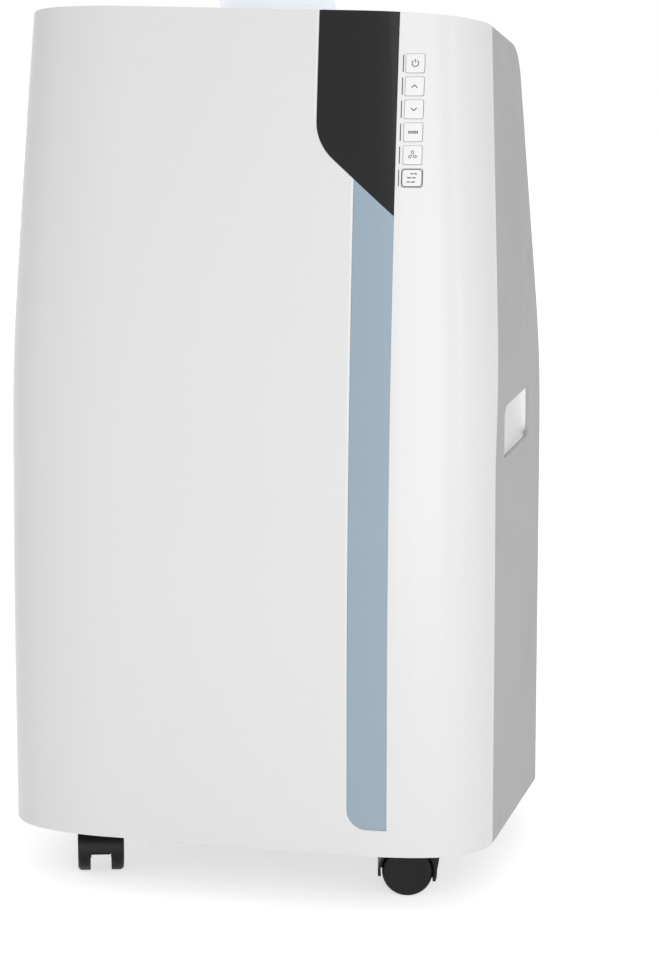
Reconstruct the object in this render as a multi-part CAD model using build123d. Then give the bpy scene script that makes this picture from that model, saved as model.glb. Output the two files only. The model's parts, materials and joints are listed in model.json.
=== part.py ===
"""Portable air conditioner: a floor-standing cabinet on four twin-wheel casters.

Millimetres. X runs to the right of someone facing the front, Y runs to the rear, Z runs up,
and the origin lies on the floor under the middle of the overall box.
"""
from build123d import *
import math
import os

# ------------------------------------------------------------------ overall sizes
WIDTH = 444.5            # across the side panels, below their taper
DEPTH = 391.2            # front face at the base to the rim of the hose collar
GROUND_GAP = 55.4        # floor to the lower edge of the shells
BODY_HEIGHT = 742.7      # lower edge of the shells to the front top edge
WALL = 3.0               # shells
SHUT_GAP = 0.4           # between neighbouring covers
TOUCH = 0.2              # between a fixed piece and the curved wall beside it
RUN_FIT = 0.06           # radial, a pin or shaft turning in its hole
CLEAR = 0.6              # beside anything that swings or slides

# ------------------------------------------------------------------ shape of the shells
FRONT_CREST = 131.6      # above the base: where the front starts to lean back
LEAN_RADIUS = 4640.0     # the front leans back along this arc
SIDE_BEND = 425.0        # above the base: where the sides start to taper
SIDE_TAPER = 2.9         # degrees
BEND_BLEND = 100.0       # height over which the bend is rounded
SOFT_TURN = 18.9         # degrees, first and gentle part of the front corner
SOFT_RADIUS = 184.0
TIGHT_RADIUS = 60.0
CORNER_STRAIGHT = 2.0    # flat between the two corner arcs
TOP_FALL = 14.3          # degrees, the top falls to the rear
SIDE_DEPTH = 272.1       # front face to the rear edge of a side panel
REAR_LEAN = 9.1          # degrees, upper rear edge of a side panel
REAR_LEAN_START = 376.6  # above the base
CHEEK_RADIUS = 42.0      # rear top corner of a side panel
SEAM_DEPTH = 64.2        # front face to the seam in front of the side panels
SEAM_BEND = 345.0        # above the base: where that seam starts to lean
SEAM_LEAN = 5.94         # degrees
COLLAR_PROUD = 17.4      # hose collar beyond the rear wall
REAR_WALL = 2.8
REAR_STEP = 3.4          # rear shell inside the outer face of the side panels
FLANK_ANGLE = 14.0       # degrees, rear flanks turn in
FLANK_BLEND = 40.0
REAR_CORNER = 35.0
REAR_TOP_RADIUS = 70.0
FLANGE = 20.0            # rear shell reaches this far inside the side panels
LEVELS = 16              # sections in each lofted wall
LOFT_SPARE = 12.0        # lofted walls rise this far above the body before the top is cut
LEAN_BLEND = 557.1       # radius where the rear edge of a side panel starts to lean

# ------------------------------------------------------------------ front inlays and keys
COLUMN_X = 139.2         # joint between the front panel and the key column
DISPLAY_LEFT = 69.0
DISPLAY_DROP = 113.4     # top edge to the display's lower left corner
DISPLAY_SLANT = 40.8     # degrees, its lower edge
DISPLAY_CORNER = 42.0
STRIP_WIDTH = 35.8
STRIP_FOOT = 24.4        # above the lower edge of the shells
STRIP_CORNER = 17.0
INLAY_DEEP = 0.7         # inlays below the face of the panel
INLAY_THICK = 1.8
SHELF_THICK = 2.0        # ledge behind the inlays
LEDGE = 6.0              # ledge beyond the edge of the inlays
KEY_WIDTH = 16.4
KEY_HEIGHT = 16.6
KEY_PITCH = 19.42
KEY_X = 153.3
KEY_DROP = 44.2          # top edge to the middle of the first key
LAST_KEY_X = 153.4       # the last key is wider and lower
LAST_KEY_WIDTH = 18.3
LAST_KEY_HEIGHT = 16.2
KEY_SINK = 0.25
KEY_GAP = 0.25
KEY_LIP = 1.2            # hidden flange that keeps a key in
KEY_STROKE = 0.8
KEY_CORNER = 1.6

# ------------------------------------------------------------------ handles
HANDLE_FRONT = 100.6     # front face to the front end of the grip
HANDLE_LENGTH = 116.0
HANDLE_LOW = 345.0       # above the lower edge of the shells
HANDLE_TALL = 46.0
GRIP_DEPTH = 27.0
GRIP_LEDGE = 9.0
GRIP_WALL = 2.0

# ------------------------------------------------------------------ top outlet
FLAP_WIDTH = 108.0
FLAP_LENGTH = 61.1
FLAP_THICK = 3.0
FLAP_REST = 37.0         # degrees, open from closed
FLAP_DEPTH = 190.6       # front face to the hinge
FLAP_TAIL = 1.5
FLAP_CORNER = 6.0
BARREL_SINK = 1.0        # hinge barrel under the face of the flap
FLAP_MOTOR_RADIUS = 12.5
FLAP_MOTOR_LONG = 18.0
PIN_RADIUS = 2.0
LID_THICK = 3.0
LID_SKIRT = 12.0
WELL_WALL = 2.0
WELL_DEPTH = 64.0
VANE_COUNT = 4
VANE_PITCH = 26.0
VANE_TALL = 22.0
VANE_THICK = 1.6
VANE_BELOW = 33.0        # pivot under the lowest point of the well's mouth
VANE_PIN = 1.5
CRANK = 14.0             # pivot to crank pin
CRANK_PIN = 1.2
LINK_THICK = 2.0
LINK_TALL = 8.6
SLOT_WIDE = 3.8
SLOT_TALL = 5.6

# ------------------------------------------------------------------ base and casters
FLOOR_THICK = 4.0
FLOOR_INSET = 2.6        # base floor above the lower edge of the shells
RIM_TALL = 22.0
RIM_THICK = 2.5
STEM_X = 152.0
STEM_FRONT = 84.8        # front face to the front stems
STEM_REAR = 232.0        # between front and rear stems
CASTER_TRAIL = 12.0
WHEEL_RADIUS = 23.0
WHEEL_THICK = 11.6
WHEEL_SPREAD = 9.6       # inner face of a wheel from the middle
WHEEL_DOME = 4.0
WHEEL_CLEAR = 1.3
HOOD_THICK = 2.5
HOOD_WIDE = 42.0
HOOD_REACH = 20.0        # hood beyond the stem
HOOD_FOOT = 14.3         # leaning fin at the stem's end of the hood, above the floor
FIN_REACH = 13.0         # foot of that fin beyond the stem
SKIRT_FOOT = 19.0        # other end of the hood above the floor
WEB_FOOT = 18.4          # web between the wheels above the floor
WEB_EDGE = 3.0           # web below the axle
NOTCH_BEHIND = 11.5      # notch in the web beyond the axle
NOTCH_TOP = 23.4
HOOD_GAP = 0.4
AXLE_RADIUS = 2.5
STEM_RADIUS = 5.0
STEM_LONG = 24.0
SOCKET_RADIUS = 12.0
SOCKET_FLANGE = 17.0
SOCKET_CAP = 3.0
CASTER_TURNS = {"fl": 18.0, "fr": -77.0, "rl": 152.0, "rr": -160.0}

# ------------------------------------------------------------------ rear openings
COLLAR_BORE = 70.0
COLLAR_WALL = 4.0
COLLAR_FLANGE = 86.0
COLLAR_PLATE = 3.0
COLLAR_HEIGHT = 279.6    # centre above the lower edge of the shells
INTAKE_WIDE = 292.0
INTAKE_TALL = 208.0
INTAKE_LOW = 385.6
GRILLE_THICK = 5.0
GRILLE_BORDER = 9.0
SLAT_PITCH = 8.0
SLAT_THICK = 2.6
RIB_COUNT = 7
RIB_THICK = 3.0
KNUCKLE_X = 100.0        # hinge knuckles of the intake grille from the middle
KNUCKLE_LONG = 18.0
KNUCKLE_RADIUS = 2.2
KNUCKLE_DROP = 3.0       # hinge axis under the grille
KNUCKLE_PIN = 1.2
LUG_WIDE = 3.0
SEAT = 3.0               # ledge that a grille rests on
SEAT_DEEP = 2.4          # grille sunk into the rear wall
FILTER_THICK = 6.0
FILTER_MARGIN = 14.0
FILTER_CELLS = (4, 3)
SCREEN_THICK = 0.8
SCREEN_EDGE = 1.0        # woven screen inside the outline of its frame
LOWER_WIDE = 276.0
LOWER_TALL = 152.0
LOWER_LOW = 32.6
SCREW_HEAD = 3.5
SCREW_SHANK = 1.6
SCREW_LONG = 9.0
SPOUT_BORE = 5.0
SPOUT_RADIUS = 8.0
SPOUT_PROUD = 9.0
SPOUT_INSIDE = 11.0
PLUG_GRIP = 10.0
PLUG_HEAD = 4.0
PLUG_TAB_THICK = 3.0
PLUG_TAB_TALL = 10.0
PLUG_TAB_LONG = 4.0
UPPER_DRAIN_X = 158.0
UPPER_DRAIN_HEIGHT = 374.6
LOWER_DRAIN_X = 112.0
LOWER_DRAIN_HEIGHT = 17.6
GLAND_X = -155.0
GLAND_HEIGHT = 60.0
GLAND_RADIUS = 9.0
GLAND_BORE = 4.2

# ------------------------------------------------------------------ machinery
DECK_HEIGHT = 366.0      # above the lower edge of the shells
DECK_THICK = 4.0
DECK_RIM = 9.0
COIL_THICK = 38.0
TUBE_ROW = 7.6           # rows of tubes in front of and behind the middle of a coil
BEND_PITCH = 24.0        # return bends at the ends of a coil
BEND_RADIUS = 8.0
BEND_TUBE = 3.0
EVAP_WIDE = 292.0
EVAP_TALL = 228.0
COND_WIDE = 254.0
COND_TALL = 172.0
COIL_BEHIND = 21.0       # coils in front of the rear wall
SCROLL_RADIUS = 85.0
SCROLL_WALL = 2.0
FAN_RADIUS = 64.0
FAN_BLADES = 24
FAN_BLADE_DEEP = 12.0
FAN_BLADE_TURN = 30.0    # degrees, blades lean forward
FAN_BLADE_INSET = 1.0    # blades inside the rim of the wheel
FAN_DISC = 3.0
COOL_FAN_GAP = 10.0      # beside the cool air wheel
EXHAUST_FAN_GAP = 8.0    # beside the exhaust wheel
SHAFT_CLEAR = 2.0        # around a shaft where it enters a housing
COOL_FOOT_DEEP = 66.0    # feet of the blower housings
EXHAUST_FOOT_DEEP = 44.0
HUB_RADIUS = 11.0
SHAFT_RADIUS = 4.0
MOTOR_RADIUS = 36.0
MOTOR_LONG = 52.0
MOTOR_EDGE = 6.5
EXHAUST_FAN_HEIGHT = 208.0
EXHAUST_FAN_Y = 5.0
EXHAUST_WIDE = 100.0
EXHAUST_DUCT = 70.0
PLENUM = 79.0            # half the size of the box behind the hose collar
PLENUM_DEEP = 58.0
COMPRESSOR_X = -125.0
COMPRESSOR_Y = -20.0
COMPRESSOR_RADIUS = 52.0
COMPRESSOR_TALL = 200.0
FOOT_RADIUS = 72.0
FOOT_THICK = 4.0
GROMMET_RADIUS = 11.0
GROMMET_TALL = 14.0
TANK_RADIUS = 22.0
TANK_TALL = 130.0
TANK_GAP = 3.0
STRAP_WIDE = 18.0
STRAP_TALL = 20.0
STRAP_UP = 50.0          # strap above the foot of the tank
PIPE_RADIUS = 4.0
PIPE_BEND = 14.0
PIPE_OUT = 20.0          # pipes beside the ends of the coils
DRIER_RADIUS = 12.0
DRIER_TALL = 86.0
BOX_BEHIND = 42.0        # front face to the front of the electrical box
BOX_WIDE = 100.0
BOX_DEEP = 56.0
BOX_TALL = 150.0
BOX_LID = 12.0           # lid line under the top of the electrical box
BOX_LINE = 1.0           # width and depth of the lid line
CAPACITOR_RADIUS = 21.0
CAPACITOR_TALL = 92.0
CAPACITOR_GAP = 2.0      # beside the electrical box
TERMINAL_X = 7.5         # terminals from the middle of the can
TERMINAL_THICK = 3.0
TERMINAL_WIDE = 6.0
TERMINAL_TALL = 8.0
BOARD_WIDE = 88.0
BOARD_TALL = 118.0
BOARD_THICK = 1.6
BOARD_BEHIND = 18.5
POST_RADIUS = 2.5
POST_EDGE = 5.0          # posts from the left edge of the board
POST_DROP = 6.0          # upper posts under its top edge
POST_RISE = 24.0         # lower posts above its lower edge
LAMP_LONG = 150.0
LAMP_TALL = 18.0
LAMP_DEEP = 7.0
LAMP_COUNT = 5
LAMP_RADIUS = 3.6

# ------------------------------------------------------------------ derived levels and planes
FRONT_Y = -DEPTH / 2
REAR_Y = DEPTH / 2 - COLLAR_PROUD
BASE_Z = GROUND_GAP
TOP_Z = BASE_Z + BODY_HEIGHT
FLOOR_Z = BASE_Z + FLOOR_INSET + FLOOR_THICK
POCKET_BACK = INLAY_DEEP + INLAY_THICK + TOUCH
LEDGE_BACK = POCKET_BACK + SHELF_THICK
HINGE_BELOW = LID_THICK + PIN_RADIUS + CLEAR
SIDE_REAR_Y = FRONT_Y + SIDE_DEPTH
DECK_Z = BASE_Z + DECK_HEIGHT + DECK_THICK
FAR = 2 * (WIDTH + DEPTH)


def sin(angle):
    return math.sin(math.radians(angle))


def cos(angle):
    return math.cos(math.radians(angle))


def tan(angle):
    return math.tan(math.radians(angle))


# ------------------------------------------------------------------ small solids
def block(x_low, x_high, y_low, y_high, z_low, z_high):
    """Box between two values on each axis."""
    size = (x_high - x_low, y_high - y_low, z_high - z_low)
    return Pos(x_low, y_low, z_low) * Box(*size, align=(Align.MIN,) * 3)


def rod_x(radius, x_low, x_high, y, z):
    return Pos(x_low, y, z) * Rot(0, 90, 0) * Cylinder(
        radius, x_high - x_low, align=(Align.CENTER, Align.CENTER, Align.MIN))


def rod_y(radius, y_low, y_high, x, z):
    return Pos(x, y_low, z) * Rot(-90, 0, 0) * Cylinder(
        radius, y_high - y_low, align=(Align.CENTER, Align.CENTER, Align.MIN))


def rod_z(radius, z_low, z_high, x, y):
    return Pos(x, y, z_low) * Cylinder(
        radius, z_high - z_low, align=(Align.CENTER, Align.CENTER, Align.MIN))


def side_prism(points, radii=None, half=FAR):
    """Outline given as (y, z) corners, carried across the whole width."""
    outline = FilletPolyline(*points, radius=radii or [0] * len(points), close=True)
    return extrude(Plane.YZ * make_face(outline), amount=half, both=True)


def front_prism(points, radii=None):
    """Outline given as (x, z) corners, carried through the whole depth."""
    outline = FilletPolyline(*points, radius=radii or [0] * len(points), close=True)
    return extrude(Plane.XZ * make_face(outline), amount=FAR, both=True)


def mirrored(shape):
    return mirror(shape, about=Plane.YZ)


# ------------------------------------------------------------------ curved walls
def lean(z):
    """How far the front has leaned back at a height."""
    rise = max(0.0, z - BASE_Z - FRONT_CREST)
    return LEAN_RADIUS - math.sqrt(LEAN_RADIUS ** 2 - rise ** 2)


def bent(rise):
    """Zero below a bend, equal to the rise above it, and rounded across it."""
    if rise <= -BEND_BLEND / 2:
        return 0.0
    if rise >= BEND_BLEND / 2:
        return rise
    return (rise + BEND_BLEND / 2) ** 2 / (2 * BEND_BLEND)


def half_width(z):
    return WIDTH / 2 - bent(z - BASE_Z - SIDE_BEND) * tan(SIDE_TAPER)


def cheek_y(z, inward=0.0):
    """Rear edge of a side panel, or a line parallel to it."""
    return SIDE_REAR_Y - inward - bent(z - BASE_Z - REAR_LEAN_START) * tan(REAR_LEAN)


def top_z(y, below=0.0):
    """Height of the sloping top above a place on the Y axis."""
    front_edge = FRONT_Y + lean(TOP_Z)
    return TOP_Z - below / cos(TOP_FALL) - (y - front_edge) * tan(TOP_FALL)


def inset_corners(points, amount):
    """Corners of a counter-clockwise polygon with every edge moved inward."""
    moved = []
    for index, corner in enumerate(points):
        following = points[(index + 1) % len(points)]
        before = (Vector(*corner) - Vector(*points[index - 1])).normalized()
        after = (Vector(*following) - Vector(*corner)).normalized()
        normal_before = Vector(-before.Y, before.X)
        normal_after = Vector(-after.Y, after.X)
        mitre = (normal_before + normal_after) / (1 + normal_before.dot(normal_after))
        moved.append((corner[0] + amount * mitre.X, corner[1] + amount * mitre.Y))
    return moved


def plan_face(corners, radii, inset, z):
    rounded = [radius - inset if radius else 0 for radius in radii]
    outline = FilletPolyline(*inset_corners(corners, inset), radius=rounded, close=True)
    return Pos(0, 0, z) * make_face(outline)


def front_plan(z, inset):
    """Front and sides at a height; the rear is left straight and is cut off later."""
    half = half_width(z)
    y_front = FRONT_Y + lean(z)
    run = SOFT_RADIUS * tan(SOFT_TURN / 2) + TIGHT_RADIUS * tan(45 - SOFT_TURN / 2) + CORNER_STRAIGHT
    x_soft = half - run * cos(SOFT_TURN)
    y_tight = y_front + run * sin(SOFT_TURN)
    y_open = SIDE_REAR_Y + 2 * FLANGE + inset
    corners = [(-x_soft, y_front), (x_soft, y_front), (half, y_tight), (half, y_open),
               (-half, y_open), (-half, y_tight)]
    radii = [SOFT_RADIUS, SOFT_RADIUS, TIGHT_RADIUS, 0, 0, TIGHT_RADIUS]
    return plan_face(corners, radii, inset, z)


def rear_plan(z, inset):
    """Rear shell at a height, open towards the front."""
    half = half_width(z) - REAR_STEP
    y_turn = cheek_y(z) + FLANK_BLEND * tan(FLANK_ANGLE / 2)
    x_rear = half - (REAR_Y - y_turn) * tan(FLANK_ANGLE)
    y_open = cheek_y(TOP_Z) - 3 * FLANGE - inset
    corners = [(-half, y_open), (half, y_open), (half, y_turn), (x_rear, REAR_Y),
               (-x_rear, REAR_Y), (-half, y_turn)]
    radii = [0, 0, FLANK_BLEND, REAR_CORNER, REAR_CORNER, FLANK_BLEND]
    return plan_face(corners, radii, inset, z)


def wall_solid(plan, inset):
    """Loft of a plan over the whole height."""
    step = (BODY_HEIGHT + LOFT_SPARE) / (LEVELS - 1)
    return loft([plan(BASE_Z + step * level, inset) for level in range(LEVELS)])


FRONT_INSETS = {}


def front_solid(inset):
    """Filled front-and-side shape, drawn once for each inset."""
    key = round(inset, 4)
    if key not in FRONT_INSETS:
        FRONT_INSETS[key] = wall_solid(front_plan, key)
    return FRONT_INSETS[key]


def under_slope(below):
    """Everything under a plane parallel to the sloping top."""
    y_low = FRONT_Y - DEPTH
    return side_prism([(y_low, 0), (DEPTH, 0), (DEPTH, top_z(DEPTH, below)),
                       (y_low, top_z(y_low, below))])


def under_top():
    """Everything under the sloping top and ahead of the rear edge of the side panels."""
    y_low = FRONT_Y - DEPTH
    y_corner = cheek_y(TOP_Z)
    for _ in range(8):
        y_corner = cheek_y(top_z(y_corner))
    bend_z = BASE_Z + REAR_LEAN_START
    corners = [(y_low, 0), (SIDE_REAR_Y, 0), (SIDE_REAR_Y, bend_z),
               (y_corner, top_z(y_corner)), (y_low, top_z(y_low))]
    return side_prism(corners, [0, 0, LEAN_BLEND, CHEEK_RADIUS, 0])


def ahead_of_seam(offset):
    """Everything in front of the seam between front pieces and side panels."""
    y_seam = FRONT_Y + SEAM_DEPTH + offset
    bend_z = BASE_Z + SEAM_BEND
    high = TOP_Z + DEPTH
    y_high = y_seam + (high - bend_z) * tan(SEAM_LEAN)
    return side_prism([(FRONT_Y - DEPTH, 0), (y_seam, 0), (y_seam, bend_z), (y_high, high),
                       (FRONT_Y - DEPTH, high)])


def ahead_of_flange(offset):
    """Everything in front of the rear shell's forward edge."""
    bend_z = BASE_Z + REAR_LEAN_START
    high = TOP_Z + DEPTH
    return side_prism([(FRONT_Y - DEPTH, 0), (cheek_y(0, FLANGE) + offset, 0),
                       (cheek_y(bend_z, FLANGE) + offset, bend_z),
                       (cheek_y(high, FLANGE) + offset, high), (FRONT_Y - DEPTH, high)])


def under_rear_top(below=0.0):
    """Everything under the rear shell's top, with its rounded rear edge."""
    y_rear = REAR_Y - below
    y_low = FRONT_Y - DEPTH
    corners = [(y_low, 0), (y_rear, 0), (y_rear, top_z(y_rear, below)),
               (y_low, top_z(y_low, below))]
    return side_prism(corners, [0, 0, REAR_TOP_RADIUS - below, 0])


# ------------------------------------------------------------------ front covers
def display_outline(grow=0.0):
    """Black display: straight left edge, rounded corner, slanted lower edge."""
    x_left = DISPLAY_LEFT - grow
    x_right = COLUMN_X
    z_corner = TOP_Z - DISPLAY_DROP - grow / cos(DISPLAY_SLANT) + grow * tan(DISPLAY_SLANT)
    z_tip = z_corner - (x_right - x_left) * tan(DISPLAY_SLANT)
    return front_prism([(x_left, z_corner), (x_right, z_tip), (x_right, TOP_Z + FAR),
                        (x_left, TOP_Z + FAR)], [DISPLAY_CORNER + grow, 0, 0, 0])


def strip_outline(grow=0.0):
    """Long accent strip below the display, rounded at its lower left corner."""
    x_left = COLUMN_X - STRIP_WIDTH - grow
    z_low = BASE_Z + STRIP_FOOT - grow
    return front_prism([(x_left, z_low), (COLUMN_X, z_low), (COLUMN_X, TOP_Z),
                        (x_left, TOP_Z)], [STRIP_CORNER + grow, 0, 0, 0])


def inlay_layer():
    back = INLAY_DEEP + INLAY_THICK
    return (front_solid(INLAY_DEEP) & under_top()) - front_solid(back)


def display_panel():
    return inlay_layer() & display_outline()


def accent_strip():
    return (inlay_layer() & strip_outline()) - display_outline(SHUT_GAP / 2)


def front_panel():
    left_part = block(-FAR, COLUMN_X, -FAR, FAR, 0, FAR)
    panel = front_solid(0) & under_top() & ahead_of_seam(-SHUT_GAP / 2) & left_part
    ledge = (display_outline(LEDGE) + strip_outline(LEDGE)) & under_slope(LID_SKIRT + SHUT_GAP)
    panel -= front_solid(LEDGE_BACK)
    panel -= front_solid(WALL) - ledge
    for outline in (display_outline(TOUCH), strip_outline(TOUCH)):
        panel -= outline - front_solid(POCKET_BACK)
    return panel


KEY_NAMES = ["power", "up", "down", "mode", "fan", "timer"]


def key_outline(index, grow=0.0):
    """Rounded rectangle of one key, counted down from the top."""
    z_mid = TOP_Z - KEY_DROP - index * KEY_PITCH
    x_mid, width, height = KEY_X, KEY_WIDTH, KEY_HEIGHT
    if index == len(KEY_NAMES) - 1:
        x_mid, width, height = LAST_KEY_X, LAST_KEY_WIDTH, LAST_KEY_HEIGHT
    half_x = width / 2 + grow
    half_z = height / 2 + grow
    key = block(x_mid - half_x, x_mid + half_x, FRONT_Y - DEPTH, 0, z_mid - half_z, z_mid + half_z)
    return fillet(key.edges().filter_by(Axis.Y), KEY_CORNER)


def control_column():
    right_part = block(COLUMN_X + SHUT_GAP, FAR, -FAR, FAR, 0, FAR)
    column = front_solid(0) & under_top() & ahead_of_seam(-SHUT_GAP / 2) & right_part
    column -= front_solid(WALL)
    for index in range(len(KEY_NAMES)):
        column -= key_outline(index)
    return column


def key_cap(index):
    flange_front = WALL + SHUT_GAP
    flange_back = flange_front + KEY_LIP
    cap = key_outline(index, -KEY_GAP) & (front_solid(KEY_SINK) - front_solid(flange_back))
    flange = key_outline(index, KEY_LIP) & (front_solid(flange_front) - front_solid(flange_back))
    return cap + flange


# ------------------------------------------------------------------ side panels and handles
HANDLE_Y = FRONT_Y + HANDLE_FRONT
HANDLE_Z = BASE_Z + HANDLE_LOW


def handle_hole(grow=0.0):
    half = WIDTH / 2
    return block(half - GRIP_DEPTH - GRIP_WALL - grow, half + WALL,
                 HANDLE_Y - grow, HANDLE_Y + HANDLE_LENGTH + grow,
                 HANDLE_Z - grow, HANDLE_Z + HANDLE_TALL + grow)


def side_panel_right():
    panel = (front_solid(0) & under_top()) - front_solid(WALL) - ahead_of_seam(SHUT_GAP / 2)
    return (panel & block(0, FAR, -FAR, FAR, 0, FAR)) - handle_hole()


def handle_cup_right():
    """Finger grip: shallow at the foot, deeper under its upper edge."""
    x_face = half_width(HANDLE_Z + HANDLE_TALL + GRIP_WALL) - TOUCH
    cup = handle_hole(-TOUCH) & block(0, x_face, -FAR, FAR, 0, FAR)
    cup += handle_hole(GRIP_WALL) & block(0, x_face - WALL, -FAR, FAR, 0, FAR)
    x_ledge = WIDTH / 2 - GRIP_LEDGE
    x_deep = WIDTH / 2 - GRIP_DEPTH
    z_low = HANDLE_Z + GRIP_WALL
    z_high = HANDLE_Z + HANDLE_TALL - GRIP_WALL
    hollow = front_prism([(x_ledge, z_low), (WIDTH, z_low), (WIDTH, z_high), (x_deep, z_high),
                          (x_deep, z_high - GRIP_LEDGE)])
    y_low = HANDLE_Y + GRIP_WALL
    y_high = HANDLE_Y + HANDLE_LENGTH - GRIP_WALL
    return cup - (hollow & block(0, FAR, y_low, y_high, 0, FAR))


# ------------------------------------------------------------------ top cover, flap and vanes
HINGE_Y = FRONT_Y + FLAP_DEPTH
HINGE_Z = top_z(HINGE_Y, HINGE_BELOW)
SWEEP = math.hypot(FLAP_TAIL, HINGE_BELOW)
MOUTH_HALF = FLAP_WIDTH / 2 + CLEAR
MOUTH_REAR = HINGE_Y + (SWEEP + CLEAR) / cos(TOP_FALL) + HINGE_BELOW * sin(TOP_FALL)
MOUTH_FRONT = (HINGE_Y - (FLAP_LENGTH + CLEAR) * cos(TOP_FALL)
               + (HINGE_BELOW - FLAP_THICK) * sin(TOP_FALL))
WELL_FOOT = top_z(MOUTH_REAR, LID_THICK) - WELL_DEPTH


def top_cover():
    edge = WALL + SHUT_GAP
    skirt = edge + RIM_THICK
    cover = front_solid(edge) & under_top() & ahead_of_flange(-SHUT_GAP)
    cover -= under_slope(LID_SKIRT)
    cover -= front_solid(skirt) & under_slope(LID_THICK)
    return cover - block(-MOUTH_HALF, MOUTH_HALF, MOUTH_FRONT, MOUTH_REAR, 0, FAR)


def outlet_well():
    """Duct mouth under the flap: four walls with holes for the flap and vane pins."""
    outer = block(-MOUTH_HALF - WELL_WALL, MOUTH_HALF + WELL_WALL, MOUTH_FRONT - WELL_WALL,
                  MOUTH_REAR + WELL_WALL, WELL_FOOT, FAR)
    well = outer - block(-MOUTH_HALF, MOUTH_HALF, MOUTH_FRONT, MOUTH_REAR, 0, 2 * FAR)
    well = well & under_slope(LID_THICK + TOUCH)
    well -= rod_x(PIN_RADIUS + RUN_FIT, -FAR, FAR, HINGE_Y, HINGE_Z)
    for x_vane in vane_places():
        well -= rod_y(VANE_PIN + RUN_FIT, -FAR, FAR, x_vane, VANE_Z)
    return well


def air_flap():
    """Flap in the frame of its hinge when closed, then turned to its rest angle."""
    half = FLAP_WIDTH / 2
    plate = block(-half, half, -FLAP_LENGTH, FLAP_TAIL, HINGE_BELOW - FLAP_THICK, HINGE_BELOW)
    tip_edges = plate.edges().filter_by(Axis.Z).group_by(Axis.Y)[0]
    plate = fillet(tip_edges, FLAP_CORNER)
    barrel = rod_x(HINGE_BELOW - BARREL_SINK, -half, half, 0, 0)
    pins = rod_x(PIN_RADIUS, -MOUTH_HALF - WELL_WALL, MOUTH_HALF + WELL_WALL, 0, 0)
    flap = plate + barrel + pins
    return Pos(0, HINGE_Y, HINGE_Z) * Rot(-TOP_FALL - FLAP_REST, 0, 0) * flap


def flap_motor():
    x_low = MOUTH_HALF + WELL_WALL + CLEAR
    radius = FLAP_MOTOR_RADIUS
    motor = rod_x(radius, x_low, x_low + FLAP_MOTOR_LONG, HINGE_Y, HINGE_Z - radius - PIN_RADIUS)
    plate = block(MOUTH_HALF + WELL_WALL, x_low, HINGE_Y - radius, HINGE_Y + radius / 2,
                  HINGE_Z - 2 * radius - PIN_RADIUS, HINGE_Z - 2 * PIN_RADIUS)
    return motor + plate


VANE_Z = top_z(MOUTH_REAR, LID_THICK) - VANE_BELOW
LINK_REAR = MOUTH_REAR - CLEAR
LINK_FRONT = LINK_REAR - LINK_THICK


def vane_places():
    return [(index - (VANE_COUNT - 1) / 2) * VANE_PITCH for index in range(VANE_COUNT)]


def vane(index):
    x_mid = vane_places()[index]
    half = VANE_THICK / 2
    y_low = MOUTH_FRONT + CLEAR
    y_arm = LINK_FRONT - CLEAR
    blade = block(x_mid - half, x_mid + half, y_low, y_arm, VANE_Z - VANE_TALL / 2,
                  VANE_Z + VANE_TALL / 2)
    blade += rod_y(VANE_PIN, MOUTH_FRONT - WELL_WALL, MOUTH_REAR + WELL_WALL, x_mid, VANE_Z)
    blade += block(x_mid - half, x_mid + half, y_arm - 2 * LINK_THICK, y_arm,
                   VANE_Z - CRANK - CRANK_PIN, VANE_Z)
    return blade + rod_y(CRANK_PIN, y_arm - LINK_THICK, LINK_REAR, x_mid, VANE_Z - CRANK)


def vane_link():
    """Bar that joins the crank pins; its slots let the pins rise as they swing."""
    x_end = vane_places()[-1] + SLOT_WIDE + CRANK_PIN
    z_low = VANE_Z - CRANK - LINK_TALL / 2 + CRANK_PIN
    link = block(-x_end, x_end, LINK_FRONT, LINK_REAR, z_low, z_low + LINK_TALL)
    for x_mid in vane_places():
        z_slot = VANE_Z - CRANK - CRANK_PIN - CLEAR / 2
        link -= block(x_mid - SLOT_WIDE / 2, x_mid + SLOT_WIDE / 2, LINK_FRONT - LINK_THICK,
                      LINK_REAR + LINK_THICK, z_slot, z_slot + SLOT_TALL)
    return link


# ------------------------------------------------------------------ rear shell and its grilles
COLLAR_Z = BASE_Z + COLLAR_HEIGHT
INTAKE_Z = BASE_Z + INTAKE_LOW
LOWER_Z = BASE_Z + LOWER_LOW
DRAINS = {"upper": (UPPER_DRAIN_X, BASE_Z + UPPER_DRAIN_HEIGHT),
          "lower": (LOWER_DRAIN_X, BASE_Z + LOWER_DRAIN_HEIGHT)}
GLAND_Z = BASE_Z + GLAND_HEIGHT
KNUCKLE_Y = REAR_Y - SEAT_DEEP + TOUCH + GRILLE_THICK
KNUCKLE_Z = INTAKE_Z - KNUCKLE_DROP


def hinge_lugs():
    """Pairs of ears under the intake window that hold the grille's knuckles."""
    lugs = []
    for side in (-1, 1):
        for end in (-1, 1):
            x_mid = side * KNUCKLE_X + end * (KNUCKLE_LONG / 2 + SHUT_GAP + LUG_WIDE / 2)
            x_low = x_mid - LUG_WIDE / 2
            lug = rod_x(KNUCKLE_RADIUS, x_low, x_low + LUG_WIDE, KNUCKLE_Y, KNUCKLE_Z)
            lug += block(x_low, x_low + LUG_WIDE, REAR_Y - REAR_WALL / 2, KNUCKLE_Y,
                         KNUCKLE_Z - KNUCKLE_RADIUS, KNUCKLE_Z + KNUCKLE_RADIUS)
            lugs.append(lug - rod_x(KNUCKLE_PIN + RUN_FIT, -FAR, FAR, KNUCKLE_Y, KNUCKLE_Z))
    return lugs


def lower_grille_screws():
    x_screw = LOWER_WIDE / 2 - GRILLE_BORDER / 2
    z_inset = GRILLE_BORDER / 2
    return [(x, z) for x in (-x_screw, x_screw)
            for z in (LOWER_Z + z_inset, LOWER_Z + LOWER_TALL - z_inset)]


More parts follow.
